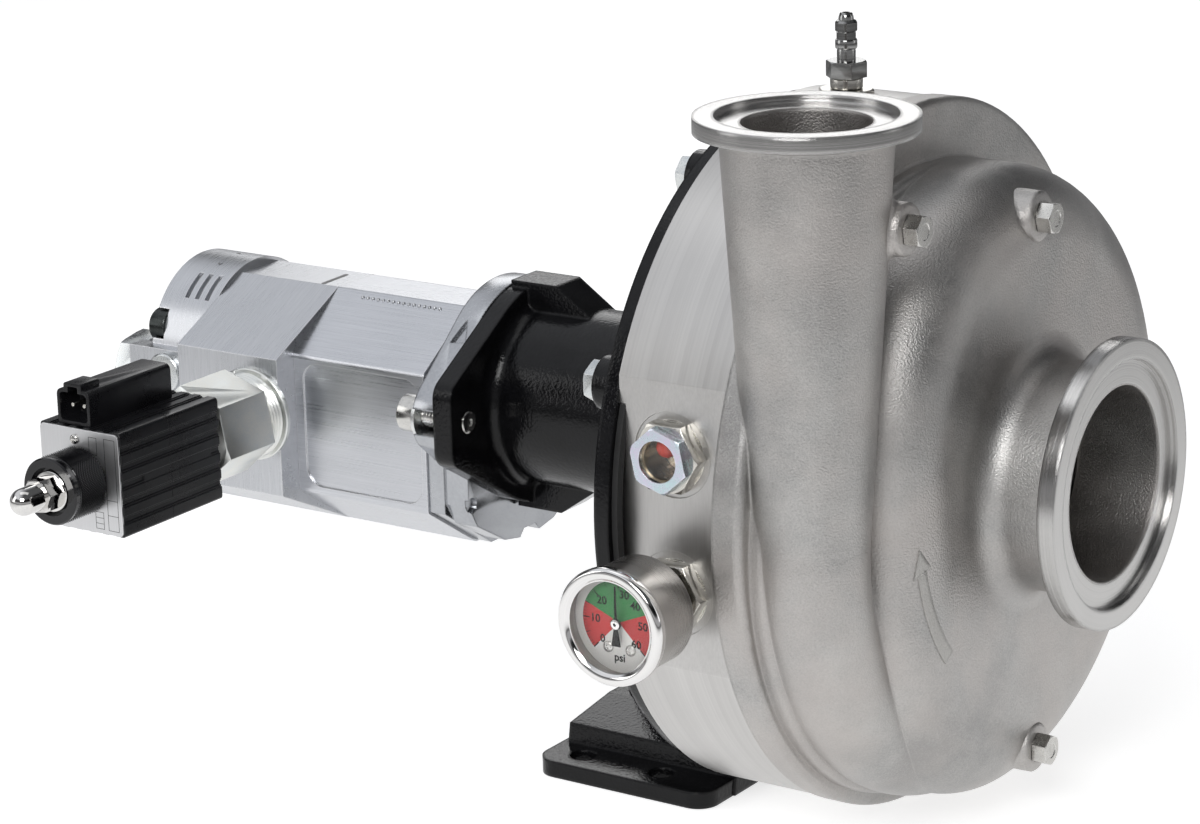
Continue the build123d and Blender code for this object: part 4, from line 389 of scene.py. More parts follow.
def combine(piece, other, operation="DIFFERENCE"):
    only(piece)
    cut = piece.modifiers.new("cut", "BOOLEAN")
    cut.operation = operation
    cut.solver = "EXACT"
    cut.object = other
    bpy.ops.object.modifier_apply(modifier="cut")
    bpy.data.objects.remove(other)
    return piece


def bore(piece, start, end, radius, steps=48):
    return combine(piece, revolve([(start, radius), (end, radius)], steps))


def soften_edges(piece, width, angle=30, segments=2):
    only(piece)
    if width:
        bevel = piece.modifiers.new("bevel", "BEVEL")
        bevel.width = width * mm
        bevel.segments = segments
        bevel.limit_method = "ANGLE"
        bevel.angle_limit = radians(angle)
        bevel.miter_outer = "MITER_ARC"
        bpy.ops.object.modifier_apply(modifier="bevel")
    bpy.ops.object.shade_smooth_by_angle(angle=radians(17 if width else 32))
    return piece


def hexagon(flats, start, end, turn=0, corner=1.05):
    blank = begin(
        bpy.ops.mesh.primitive_cylinder_add, vertices=6, radius=flats / 3**0.5 * mm, depth=(end - start) * mm,
        location=(0, 0, (start + end) / 2 * mm), rotation=(0, 0, radians(turn)),
    )
    bpy.ops.object.transform_apply(location=True, rotation=True, scale=True)
    inner, outer = flats / 2 * corner, flats / 3**0.5 * 1.01
    slope = (outer - inner) * 0.5
    turned = revolve([(start - 1, outer), (end - slope, outer), (end, inner), (end + 1, inner)], 96)
    return combine(blank, turned, "INTERSECT")


def settle(piece, name, material, place=(0, 0, 0), turn=facing_up, replaces=None, body="pump"):
    only(piece)
    piece.rotation_euler = turn
    piece.location = [distance * mm for distance in place]
    bpy.ops.object.transform_apply(location=True, rotation=True, scale=True)
    piece.name = name
    piece.data.name = name
    piece.data.materials.clear()
    piece.data.materials.append(material)
    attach(piece, body)
    if replaces:
        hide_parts(replaces)


def again(piece, move, turn=0):
    mesh = piece.data.copy()
    mesh.transform(Matrix.Translation(Vector(move) * mm) @ Matrix.Rotation(radians(turn), 4, "Z"))
    twin = bpy.data.objects.new(piece.name, mesh)
    bpy.context.collection.objects.link(twin)
    return twin


def join(piece, *others):
    only(piece)
    for other in others:
        other.select_set(True)
    bpy.ops.object.join()
    return piece


zinc = finish(
    "zinc", grain, ((0.50, 0.53, 0.55), (0.74, 0.75, 0.73)), (0.20, 0.36), 0.10,
    wear_and_highlight=(0.86, 0.86, 0.85), soften=0.0004, Grain_Scale=1800, Cloud_Scale=110,
)
shaft_z = 142
bolt_circle = 122
head = hexagon(14.3, 0.6, 6, 10)
washer_face = revolve([(0, 6.9), (0.6, 6.9), (0.61, 4.0)], 48)
shank = revolve([(-49.6, 3.9), (-48.8, 4.7), (0.1, 4.7)], 32)
head = soften_edges(head, 0.15)
head = join(head, soften_edges(washer_face, 0), soften_edges(shank, 0))
bolt_angles = [22.5 + 45 * index for index in range(8)]
places = [(bolt_circle * cos(radians(a)), bolt_circle * sin(radians(a))) for a in bolt_angles]
twins = [again(head, (x, -z, 0), 17 * index) for index, (x, z) in enumerate(places)]
bpy.data.objects.remove(head)
frame_screws = join(*twins)
settle(frame_screws, "frame_screws", zinc, (0, -38.3, shaft_z), facing_back, replaces="frame_bolts")
coat(zinc, "mount_washers")

# Shaft and bearings: turned stainless shaft, ground bearing rings and balls, a carbon seal pair
# with rubber bellows. They run inside the frame and show only through its openings.
turned_steel = finish("turned_steel", rings, ((0.52, 0.52, 0.52), (0.68, 0.67, 0.66)), (0.18, 0.32), 0.12, Lines=1400)
ground_steel = finish("ground_steel", rings, ((0.60, 0.60, 0.61), (0.72, 0.72, 0.72)), (0.10, 0.18), 0.04, Lines=2600)
rubber = finish(
    "rubber", grain, ((0.010, 0.010, 0.010), (0.024, 0.024, 0.024)), (0.55, 0.75), 0.25,
    metallic=0, Grain_Scale=2200, Cloud_Scale=120,
)
carbon = finish(
    "carbon", grain, ((0.018, 0.018, 0.020), (0.045, 0.045, 0.048)), (0.30, 0.45), 0.08,
    metallic=0, Grain_Scale=2600, Cloud_Scale=140,
)
coat(turned_steel, "pump_shaft", "impeller_washer", "impeller_nut", "impeller_key", "wear_ring", "seal_seats")
coat(ground_steel, "bearing_balls", "bearing_inner_rings", "bearing_outer_rings", "bearing_spacer", "snap_ring")
coat(rubber, "chamber_o_rings", "seal_bellows", "motor_shaft_seal")
coat(carbon, "seal_heads")

# Seal chamber: a drum turned from stainless bar, with fine lathe lines round its rim and a milled
# flat at nine o'clock for the sight plug and the gauge.
drum_steel = finish(
    "drum_steel", rings, ((0.46, 0.45, 0.44), (0.62, 0.61, 0.595)), (0.30, 0.42), 0.16, 0.00012,
    wear_and_highlight=(0.74, 0.73, 0.72), soften=0.0005, Lines=1100,
)
coat(drum_steel, "seal_chamber")
coat(zinc, "casing_screws")

# Volute casing: investment cast stainless, bead blasted to a fine even grain. Both flanges are
# turned bright on the rim, the face and the tapered back.
cast_steel = finish(
    "cast_steel", grain, ((0.37, 0.36, 0.345), (0.50, 0.49, 0.47)), (0.38, 0.52), 0.55, 0.0003,
    wear_and_highlight=(0.60, 0.59, 0.57), soften=0.0022, Grain_Scale=1350, Cloud_Scale=22,
)
coat(cast_steel, "impeller")


def within(tree, value, low, high, blur=0.0001):
    rise = spread_over(tree, value, low - blur, low + blur, 0, 1)
    fall = spread_over(tree, value, high - blur, high + blur, 1, 0)
    return operate(tree, "MULTIPLY", rise, fall)


def machined(material, masks, colours, roughness):
    tree = material.node_tree
    shader = tree.nodes["Principled BSDF"]
    colour = shader.inputs["Base Color"].links[0].from_socket
    rough = shader.inputs["Roughness"].links[0].from_socket
    relief = shader.inputs["Normal"].links[0].from_node
    grainy = relief.inputs["Height"].links[0].from_socket
    for centre, axis, spans in masks:
        lathe = use(tree, rings, Centre=centre, Axis=axis, Lines=1500)
        share = None
        for along_span, radius_span in spans:
            spot = operate(
                tree, "MULTIPLY", within(tree, lathe["Along"], *along_span), within(tree, lathe["Radius"], *radius_span)
            )
            share = spot if share is None else operate(tree, "MAXIMUM", share, spot)
        bright = blend(tree, by_tone(tree, lathe, 0, 1), *colours)
        colour = blend(tree, share, colour, bright)
        rough = mix_values(tree, share, rough, by_tone(tree, lathe, *roughness))
        grainy = mix_values(tree, share, grainy, operate(tree, "MULTIPLY", lathe["Height"], 0.25))
    tree.links.new(colour, shader.inputs["Base Color"])
    tree.links.new(rough, shader.inputs["Roughness"])
    tree.links.new(grainy, relief.inputs["Height"])
    return material


def mix_values(tree, share, first, second):
    node = add(tree, "Mix")
    for socket, value in zip(node.inputs, (share, None, first, second)):
        if value is not None:
            tree.links.new(value, socket)
    return node.outputs[0]


casing_steel = finish(
    "casing_steel", grain, ((0.33, 0.325, 0.32), (0.54, 0.53, 0.515)), (0.36, 0.50), 0.75, 0.0003,
    wear_and_highlight=(0.60, 0.59, 0.57), soften=0.0022, Grain_Scale=1350, Cloud_Scale=22,
)
tree = casing_steel.node_tree
casing_colour = tree.nodes["Principled BSDF"].inputs["Base Color"]
handled = use(tree, grain, Grain_Scale=30, Cloud_Scale=7)
share = spread_over(tree, handled["Tone"], 0.38, 0.62, 0.0, 0.45)
tree.links.new(blend(tree, share, casing_colour.links[0].from_socket, (0.53, 0.49, 0.465)), casing_colour)
suction_centre, suction_axis = (0, -0.197, 0.142), (0, 1, 0)
discharge_centre, discharge_axis = (-0.113, -0.127, 0.3), (0, 0, -1)
machined(
    casing_steel,
    [
        (suction_centre, suction_axis, [((-0.001, 0.0098), (0.0452, 0.06)), ((-0.001, 0.0030), (0.0385, 0.0484))]),
        (discharge_centre, discharge_axis, [((-0.001, 0.0088), (0.0322, 0.045)), ((-0.001, 0.0030), (0.0240, 0.0333))]),
    ],
    ((0.42, 0.415, 0.405), (0.56, 0.55, 0.54)),
    (0.14, 0.28),
)
coat(casing_steel, "volute_casing")

# Bosses for the vent, drain and nozzle plugs: cast with the casing, each a round pad with a fillet
# that runs out on the wall behind it.
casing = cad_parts["volute_casing"]
pad_r, fillet = 10, 3.2
pads = []
for x, y, z in ((0, -162, 242.7), (0, -162, 28.5), (-94, -158, 257)):
    pad = begin(bpy.ops.mesh.primitive_grid_add, x_subdivisions=72, y_subdivisions=12, size=1)
    for corner in pad.data.vertices:
        turn, row = radians(360 * corner.co.x), round(12 * corner.co.y + 6)
        root = Vector((x + (pad_r + fillet) * cos(turn), -300, z + (pad_r + fillet) * sin(turn))) * mm
        hit, spot, normal, face = casing.ray_cast(root, Vector((0, 1, 0)))
        depth = min(max(spot.y / mm, y + 3), y + 26) if hit else y + 26
        if row < 4:
            reach, front = (5.6, 7.8, 9.2, 9.9)[row], y + (-0.25, -0.25, 0.2, 1.1)[row]
        else:
            bend = radians((row - 4) * 11.25)
            reach = pad_r + fillet * min(1, max(0, (y + 24 - depth) / 8)) * (1 - cos(bend))
            front = depth + 0.2 - min(4, depth - y - 1.3) * (1 - sin(bend))
        corner.co = Vector((x + reach * cos(turn), front, z + reach * sin(turn))) * mm
    mode("EDIT")
    close_up(0.01)
    pads.append(pad)
settle(soften_edges(join(*pads), 0), "plug_bosses", casing_steel)

# Arrow for the sense of rotation: cast with the casing, a flat raised band that follows the scroll
# on its shoulder and ends in a head.
arrow_start, arrow_sweep, arrow_r, arrow_rise, arrow_breadth = 236.8, 26, 92.8, 5.8, 6.6


def on_shoulder(reach, bearing):
    return Vector((reach * sin(radians(bearing)), -165, shaft_z + reach * cos(radians(bearing)))) * mm


band = begin(bpy.ops.mesh.primitive_grid_add, x_subdivisions=14, y_subdivisions=1, size=1)
for corner in band.data.vertices:
    along = corner.co.x + 0.5
    reach = arrow_r + arrow_rise * along + arrow_breadth * corner.co.y
    corner.co = on_shoulder(reach, arrow_start + arrow_sweep * along)
barb = begin(bpy.ops.mesh.primitive_circle_add, vertices=3, fill_type="NGON")
for corner, (reach, bearing) in zip(barb.data.vertices, ((99.8, 268.6), (91.8, 263.0), (105.2, 262.7))):
    corner.co = on_shoulder(reach, bearing)
for shape in (band, barb):
    for corner in shape.data.vertices:
        sight = (corner.co - camera_at).normalized()
        hit, spot, normal, face = casing.ray_cast(corner.co - sight * 0.12, sight)
        corner.co = spot + normal * 0.0001
arrow = join(band, barb)
thick = arrow.modifiers.new("thick", "SOLIDIFY")
thick.thickness = 0.0009
thick.offset = 0
bpy.ops.object.modifier_apply(modifier="thick")
mode("EDIT")
close_up()
settle(soften_edges(arrow, 0.15, 40), "rotation_arrow", cast_steel)

# Hexagon plugs: stainless, in the vent, the drain and the nozzle. The end face shows lathe lines
# round its middle and the thread goes into the boss.
plug_steel = finish(
    "plug_steel", grain, ((0.50, 0.49, 0.47), (0.66, 0.65, 0.62)), (0.20, 0.34), 0.12,
    wear_and_highlight=(0.78, 0.77, 0.75), soften=0.0003, Grain_Scale=1700, Cloud_Scale=150,
)
plug_places = [(0, -162, 242.7, 20), (0, -162, 28.5, 3), (-94, -158, 257, 12)]
for index, (x, y, z, turn) in enumerate(plug_places):
    head = soften_edges(hexagon(11.1, 0.5, 6.4, turn, 1.0), 0.12)
    neck = soften_edges(revolve([(-12, 4.0), (-11, 5.0), (0, 5.0), (0.02, 5.4), (0.5, 5.4)], 40), 0)
    dimple = revolve([(6.1, 3.0), (6.42, 3.2), (7.0, 3.2)], 40)
    head = combine(head, dimple)
    settle(
        join(head, neck), f"plug_{index + 1}", plug_steel, (x, y, z), facing_front,
        replaces="pipe_plugs" if index == 0 else None,
    )

# Port bushes: nickel plated steel hexagons turned from bar, their threads screwed into the spot
# faces of the drum's flat, with the sight plug and the gauge's stem in their bores.
nickel = finish(
    "nickel", grain, ((0.52, 0.505, 0.47), (0.70, 0.68, 0.63)), (0.14, 0.28), 0.10,
    wear_and_highlight=(0.84, 0.82, 0.76), soften=0.0003, Grain_Scale=1600, Cloud_Scale=170,
)
port_y, sight_z, gauge_z = -77, 169.9, 116.1
at_sight, at_gauge = [((0, port_y, height), facing_left) for height in (sight_z, gauge_z)]
for name, height, node in (("sight_bush", sight_z, "port_bushes"), ("gauge_bush", gauge_z, None)):
    bush = bore(hexagon(25.4, 127.2, 134.2, 30, 1.04), 117, 136, 9.3, 64)
    thread = revolve([(118.4, 12.8), (119.2, 13.6), (127.3, 13.6)], 64)
    bush = join(bush, bore(thread, 117, 136, 9.3, 64))
    settle(soften_edges(bush, 0.18), name, nickel, (0, port_y, height), facing_left, replaces=node)

# Sight plug: zinc passivated hexagon with a purple to teal bloom on its face, a pressed glass and
# a red float behind it.
gauge_axis = {"Centre": (0, -0.077, 0.1161), "Axis": (1, 0, 0)}
brass = finish("brass", rings, ((0.20, 0.15, 0.09), (0.34, 0.27, 0.17)), (0.22, 0.36), 0.08, **gauge_axis, Lines=1500)
passivated = finish(
    "passivated", grain, ((0.66, 0.57, 0.72), (0.54, 0.72, 0.73)), (0.20, 0.32), 0.08,
    wear_and_highlight=(0.82, 0.80, 0.86), soften=0.0003, Grain_Scale=1800, Cloud_Scale=95,
)
plug = hexagon(22.2, 134.25, 138.4, 12, 1.075)
plug = combine(plug, revolve([(118.3, 8.4), (119, 9.2), (134.3, 9.2)], 64), "UNION")
plug = combine(plug, revolve([(121.2, 8.2), (137.6, 8.2), (137.65, 7.9), (139, 8.15)], 64))
settle(soften_edges(plug, 0.2), "sight_hexagon", passivated, *at_sight, replaces="sight_plug")
sleeve = revolve([(121.4, 8.15), (134.4, 8.15), (134.4, 7.7), (121.4, 7.7), (121.4, 8.15)], 48, closed=True)
settle(soften_edges(sleeve, 0), "sight_sleeve", brass, *at_sight)
float_red = finish(
    "float_red", grain, ((0.60, 0.030, 0.012), (0.75, 0.06, 0.025)), (0.25, 0.4), 0.05,
    metallic=0, Grain_Scale=1500, Cloud_Scale=200,
)
coat(float_red, "sight_float")
glass = bpy.data.materials.new("glass")
glass.use_nodes = True
tree = glass.node_tree
shader = tree.nodes["Principled BSDF"]
shader.inputs["Transmission Weight"].default_value = 1
shader.inputs["IOR"].default_value = 1.3
smears = use(tree, grain, Grain_Scale=300, Cloud_Scale=45)
tree.links.new(spread_over(tree, smears["Tone"], 0.35, 0.75, 0.0, 0.03), shader.inputs["Roughness"])
coat(glass, "sight_glass", "gauge_lens")

# Gauge stem and cup: brass stem under nickel with its own hexagon, and a drawn stainless cup whose
# wall has fine lines round it.
cup_steel = finish(
    "cup_steel", rings, ((0.40, 0.385, 0.37), (0.54, 0.52, 0.50)), (0.22, 0.34), 0.10,
    **gauge_axis, Lines=2000,
)
rim_steel = finish(
    "rim_steel", rings, ((0.72, 0.71, 0.70), (0.80, 0.79, 0.78)), (0.05, 0.12), 0.03,
    **gauge_axis, Lines=900,
)
stem = revolve([(118.3, 8.2), (119.2, 9.2), (134.2, 9.2), (134.25, 7.0), (147.7, 7.0)], 48)
stem = bore(stem, 117, 149, 2.0, 24)
collar = revolve([(142.4, 7.0), (142.4, 7.9), (144.6, 7.9), (144.6, 7.0), (142.4, 7.0)], 48, closed=True)
settle(soften_edges(stem, 0.1), "gauge_pipe", brass, *at_gauge, replaces="gauge_stem")
settle(soften_edges(collar, 0.15), "gauge_collar", brass, *at_gauge)
stem_nut = bore(hexagon(19, 136.2, 142.2, 30, 1.03), 130, 150, 7.02)
settle(soften_edges(stem_nut, 0.15), "gauge_hexagon", nickel, *at_gauge)
cup_profile = [
    (146.3, 7.05), (146.3, 18.6), (146.6, 19.8), (147.3, 20.6), (148.3, 21.0), (168.2, 21.0),
    (170.35, 21.0), (170.35, 19.5), (148.6, 19.5), (147.9, 19.0), (147.8, 18.2), (147.8, 7.05), (146.3, 7.05),
]
cup = revolve(cup_profile, 96, closed=True)
settle(soften_edges(cup, 0), "gauge_cup", cup_steel, *at_gauge, replaces="gauge_case")
rim_profile = [
    (168.3, 21.05), (168.3, 21.8), (168.6, 22.25), (169.2, 22.5), (171.4, 22.5), (172.3, 22.3), (173.0, 21.8),
    (173.3, 21.1), (173.3, 19.7), (173.1, 19.1), (172.6, 18.5), (172.0, 17.9), (171.92, 17.5), (171.92, 21.05),
    (168.3, 21.05),
]
rim = revolve(rim_profile, 96, closed=True)
settle(soften_edges(rim, 0), "gauge_rim", rim_steel, *at_gauge, replaces="gauge_bezel")

# Gauge dial: a printed white disc. Green marks the working range and red the two ends, the ticks
# stand at every unit with longer ones at the fives and tens, and the figures run from 0 to 60.
dial_white = finish(
    "dial_white", grain, ((0.86, 0.85, 0.82), (0.92, 0.91, 0.88)), (0.4, 0.5), 0.02,
    metallic=0, Grain_Scale=2500, Cloud_Scale=100,
)
printed = {"metallic": 0, "Grain_Scale": 2500, "Cloud_Scale": 90}
dial_green = finish("dial_green", grain, ((0.008, 0.21, 0.035), (0.012, 0.26, 0.045)), (0.35, 0.45), 0.02, **printed)
dial_red = finish("dial_red", grain, ((0.58, 0.014, 0.014), (0.66, 0.022, 0.020)), (0.35, 0.45), 0.02, **printed)
ink = finish("ink", grain, ((0.002, 0.002, 0.002), (0.005, 0.005, 0.005)), (0.6, 0.8), 0.02, specular=0.1, **printed)
dial_top = 165.0
dial_profile = [(164.2, 0.8), (164.2, 19.4), (164.95, 19.4), (165.0, 19.3), (165.0, 0.8), (164.2, 0.8)]
plate = revolve(dial_profile, 96, closed=True)
settle(soften_edges(plate, 0), "dial_plate", dial_white, *at_gauge, replaces="gauge_dial")
sector_r = 15.9


def thicken(rise):
    bpy.ops.mesh.select_all(action="SELECT")
    bpy.ops.mesh.extrude_region_move()
    bpy.ops.transform.translate(value=rise)
    bpy.ops.mesh.select_all(action="SELECT")
    bpy.ops.mesh.normals_make_consistent(inside=False)
    mode("OBJECT")


def choose_faces(piece, wanted):
    only(piece)
    mode("EDIT")
    bpy.ops.mesh.select_mode(type="FACE")
    bpy.ops.mesh.select_all(action="DESELECT")
    mode("OBJECT")
    for face in piece.data.polygons:
        face.select = wanted(face)
    mode("EDIT")


sectors = [
    ("sector_low", -135, -67.5, dial_red),
    ("sector_middle", -67.5, 67.5, dial_green),
    ("sector_high", 67.5, 135, dial_red),
]
for name, low, high, colour in sectors:
    sector = begin(bpy.ops.mesh.primitive_circle_add, vertices=240, radius=sector_r * mm, fill_type="TRIFAN")
    choose_faces(sector, lambda face: not low <= degrees(atan2(face.center.x, face.center.y)) <= high)
    bpy.ops.mesh.delete(type="FACE")
    bpy.ops.mesh.select_all(action="SELECT")
    bpy.ops.mesh.dissolve_limited(angle_limit=radians(0.1))
    thicken((0, 0, 0.04 * mm))
    settle(sector, name, colour, (-(dial_top + 0.01), port_y, gauge_z), facing_left)


def block(low, high, turn=0):
    shape = begin(bpy.ops.mesh.primitive_cube_add, size=1, location=[(a + b) / 2 * mm for a, b in zip(low, high)])
    shape.scale = [(b - a) * mm for a, b in zip(low, high)]
    bpy.ops.object.transform_apply(location=True, rotation=True, scale=True)
    shape.data.transform(Matrix.Rotation(radians(turn), 4, "Z"))
    return shape


ticks = []
for unit in range(61):
    length, breadth = (3.0, 0.5) if unit % 10 == 0 else (2.2, 0.36) if unit % 5 == 0 else (1.5, 0.24)
    low, high = (-breadth / 2, sector_r - length, -0.025), (breadth / 2, sector_r, 0.025)
    ticks.append(block(low, high, 135 - unit * 4.5))
settle(join(*ticks), "dial_ticks", ink, (-(dial_top + 0.07), port_y, gauge_z), facing_left)
marks = [(str(10 * step), 45 * step - 135, 10.4) for step in range(7)]
marks[3] = ("30", 13, 11.2)
figures = []
for words, bearing, reach in marks + [("psi", 180, 13.6)]:
    figure = begin(bpy.ops.object.text_add)
    figure.data.body = words
    figure.data.size = 4.4 * mm
    figure.data.align_x = figure.data.align_y = "CENTER"
    figure.data.extrude = 0.02 * mm
    figure.data.offset = 0.1 * mm
    figure.data.resolution_u = 3
    bpy.ops.object.convert(target="MESH")
    aside, above = reach * sin(radians(bearing)) * mm, reach * cos(radians(bearing)) * mm
    figure.data.transform(Matrix.Translation((aside, above, 0)))
    figures.append(figure)
settle(join(*figures), "dial_figures", ink, (-(dial_top + 0.09), port_y, gauge_z), facing_left)

# Dial screws and pointer: small domed heads with a cross slot, and a black needle with a tapered
# tail under a bright cap.
for name, shift, node in (("dial_screw_left", -4.9, "dial_screws"), ("dial_screw_right", 4.9, None)):
    screw = revolve([(161.2, 1.1), (165.05, 1.1), (165.06, 2.15), (165.5, 2.1), (165.85, 1.7), (166.0, 1.0)], 32)
    for quarter in (20, 110):
        screw = combine(screw, block((-1.3, -0.275, 165.55), (1.3, 0.275, 166.25), quarter))
    settle(soften_edges(screw, 0), name, plug_steel, (0, port_y - shift, gauge_z - 10), facing_left, replaces=node)
coat(ink, "gauge_pointer")
cap = revolve([(167.62, 1.9), (167.85, 1.85), (167.95, 1.6), (167.96, 0.75), (168.08, 0.6)], 40)
settle(soften_edges(cap, 0), "pointer_cap", rim_steel, *at_gauge, body="gauge_hand")

# Air filling nipple: dark nickel, turned with two collars for the coupling, in a hexagon and a
# reducing bush on top of the drum.
dark_nickel = finish(
    "dark_nickel", rings, ((0.24, 0.24, 0.24), (0.42, 0.42, 0.41)), (0.12, 0.24), 0.08,
    Centre=(0, -0.077, 0), Axis=(0, 0, 1), Lines=1300,
)
stem = revolve(
    [
        (292.4, 3.65), (299.2, 3.65), (299.9, 3.5), (300.1, 4.15), (300.4, 4.3), (303.3, 4.3), (303.6, 4.15),
        (303.8, 3.75), (306.4, 3.75), (306.8, 4.1), (307.1, 4.3), (310.2, 4.3), (310.8, 3.9), (311.2, 3.0),
        (312.4, 2.9), (313.6, 2.5), (314.0, 2.1), (313.9, 1.65),
    ],
    48,
)
stem = bore(stem, 300, 316, 1.55, 24)
nipple = hexagon(14.3, 289.0, 295.4, 15, 1.02)
ring = revolve([(284.5, 5.4), (284.8, 6.3), (288.4, 6.4), (288.7, 5.9), (289.2, 5.9)], 48)
thread = revolve([(271.0, 4.2), (271.6, 4.7), (285.0, 4.7)], 40)
settle(
    join(soften_edges(stem, 0), soften_edges(nipple, 0.15)), "nipple_stem", dark_nickel, (0, port_y, 0),
    replaces="fill_nipple",
)
settle(join(soften_edges(ring, 0.1), soften_edges(thread, 0)), "nipple_ring", nickel, (0, port_y, 0))
bush = hexagon(20, 281.0, 284.4, 10, 1.03)
bush = combine(bush, revolve([(270.6, 7.6), (271.4, 8.2), (281.05, 8.2)], 48), "UNION")
bush = bore(bush, 269, 286, 4.76, 40)
settle(soften_edges(bush, 0.15), "fill_bush", nickel, (0, port_y, 0), replaces="nipple_bush")
coat(dark_nickel, "fill_valve_pin")

# Motor mounting bolts: round socket heads behind the cover's ears, their threads in sight in the
# open slots and their ends level with the frame's flange.
bolt_steel = finish(
    "bolt_steel", grain, ((0.54, 0.53, 0.51), (0.68, 0.67, 0.64)), (0.16, 0.28), 0.08,
    wear_and_highlight=(0.80, 0.79, 0.77), soften=0.0003, Grain_Scale=1600, Cloud_Scale=150,
)
thread = [(69.9, 1.9), (69.95, 3.6), (70.3, 4.3)]
for turn_count in range(14):
    thread += [(70.8 + 1.5 * turn_count, 4.72), (71.55 + 1.5 * turn_count, 4.1)]
bolt = revolve(thread + [(92.2, 4.7), (93.2, 4.7)], 40)
bolt = combine(bolt, revolve([(69, 1.5), (70.7, 1.5), (71.4, 0.3)], 24))
bolt_head = revolve([(93.1, 7.3), (93.5, 7.95), (101.8, 7.95), (102.6, 7.2)], 64)
bolt_head = combine(bolt_head, hexagon(8, 98, 104, 10, 1.2))
bolt = join(soften_edges(bolt, 0), soften_edges(bolt_head, 0.12))
pair = [again(bolt, (x, 0, 0)) for x in (-53.2, 53.2)]
bpy.data.objects.remove(bolt)
settle(join(*pair), "motor_screws", bolt_steel, (0, 0, shaft_z), facing_back, replaces="mount_bolts")

# Motor: die cast front cover, extruded and milled body, manifold block and rear cover. The cutter
# has left its lines along the body and the covers carry a fine blasted skin.
milled = finish(
    "milled", streaks, ((0.48, 0.49, 0.515), (0.66, 0.67, 0.70)), (0.22, 0.38), 0.22,
    wear_and_highlight=(0.80, 0.80, 0.81), soften=0.0004, Stretch=(1500, 18, 1500), Cloud_Scale=20,
)
cross_milled = finish(
    "cross_milled", streaks, ((0.46, 0.47, 0.49), (0.64, 0.65, 0.675)), (0.22, 0.38), 0.22,
    wear_and_highlight=(0.80, 0.80, 0.81), soften=0.0004, Stretch=(60, 1400, 60), Cloud_Scale=24,
)
diecast = finish(
    "diecast", grain, ((0.38, 0.39, 0.41), (0.46, 0.47, 0.49)), (0.20, 0.28), 0.03,
    soften=0.0010, Grain_Scale=700, Cloud_Scale=45,
)


def model_of(node):
    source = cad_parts[node]
    mesh = source.data.copy()
    mesh.transform(source.matrix_world)
    piece = bpy.data.objects.new(node, mesh)
    bpy.context.collection.objects.link(piece)
    only(piece)
    bpy.ops.mesh.customdata_custom_splitnormals_clear()
    mode("EDIT")
    bpy.ops.mesh.select_all(action="SELECT")
    bpy.ops.mesh.remove_doubles(threshold=0.000005)
    bpy.ops.mesh.dissolve_limited(angle_limit=radians(0.5))
    bpy.ops.mesh.normals_make_consistent(inside=False)
    mode("OBJECT")
    return piece


cover = model_of("motor_front_cover")
hole = revolve([(72, 3.9), (73.9, 3.5)] + [(73.9 + 0.6 * index, (3.1, 3.5)[index % 2]) for index in range(1, 14)], 32)
hole.location = (-0.0405, 0, 0.1015)
hole.rotation_euler = facing_back
cover = combine(cover, hole)
pocket_corners = ((-40.1, 88.6, 170.2), (-30.9, 86.2, 178.1), (-39.3, 81.6, 170.9))
pocket = begin(bpy.ops.mesh.primitive_circle_add, vertices=3, fill_type="NGON")
outward = Vector((-0.6495, 0, 0.7604))
for corner, place in zip(pocket.data.vertices, pocket_corners):
    corner.co = Vector(place) * mm + outward * 0.002
mode("EDIT")
thicken(outward * -0.0034)
cover = combine(cover, pocket)
settle(soften_edges(cover, 0.5, 35, 3), "front_cover", diecast, replaces="motor_front_cover")
coat(milled, "motor_body")
coat(cross_milled, "manifold_block", "motor_rear_cover")
bronze = finish("bronze", rings, ((0.42, 0.27, 0.12), (0.56, 0.38, 0.18)), (0.25, 0.4), 0.1, Lines=900)
coat(bronze, "bearing_blocks")
coat(ground_steel, "drive_gear", "idler_gear", "coupling_key", "valve_spool")

# Marks on the motor: two strokes of marker pen across the top joints, and a row of fine beads where
# a shallow step runs along the shoulder of the body.
marker = finish(
    "marker", grain, ((0.03, 0.03, 0.032), (0.09, 0.09, 0.09)), (0.3, 0.5), 0.02,
    metallic=0, Grain_Scale=1800, Cloud_Scale=300,
)
flat_top, round_r, round_from = 178, 39.55, 221
strokes = []
for along, start, end in ((233.8, -11.8, 3.6), (176.6, -12.0, 6.8)):
    stroke = begin(
        bpy.ops.mesh.primitive_cylinder_add, vertices=24, radius=1.1 * mm, depth=0.08 * mm,
        location=((start + 1.1) * mm, along * mm, (flat_top + 0.04) * mm),
    )
    bpy.ops.object.transform_apply(location=True, rotation=True, scale=True)
    for corner in stroke.data.vertices:
        if corner.co.x > (start + 1.2) * mm:
            corner.co.x += (end - start - 2.2) * mm
            corner.co.y += 0.8 * mm
    if along > round_from:
        for corner in stroke.data.vertices:
            corner.co.z += (shaft_z - flat_top + (round_r**2 - (corner.co.x / mm) ** 2) ** 0.5) * mm
    strokes.append(stroke)
settle(join(*strokes), "pen_strokes", marker)
beads = []
for index in range(16):
    bead = begin(bpy.ops.mesh.primitive_uv_sphere_add, segments=12, ring_count=6, radius=0.8 * mm)
    bead.data.transform(Matrix.Translation((-0.0156, (111.5 + 2.7 * index) * mm, 0.17588)))
    beads.append(bead)
settle(soften_edges(join(*beads), 0), "body_beads", milled)

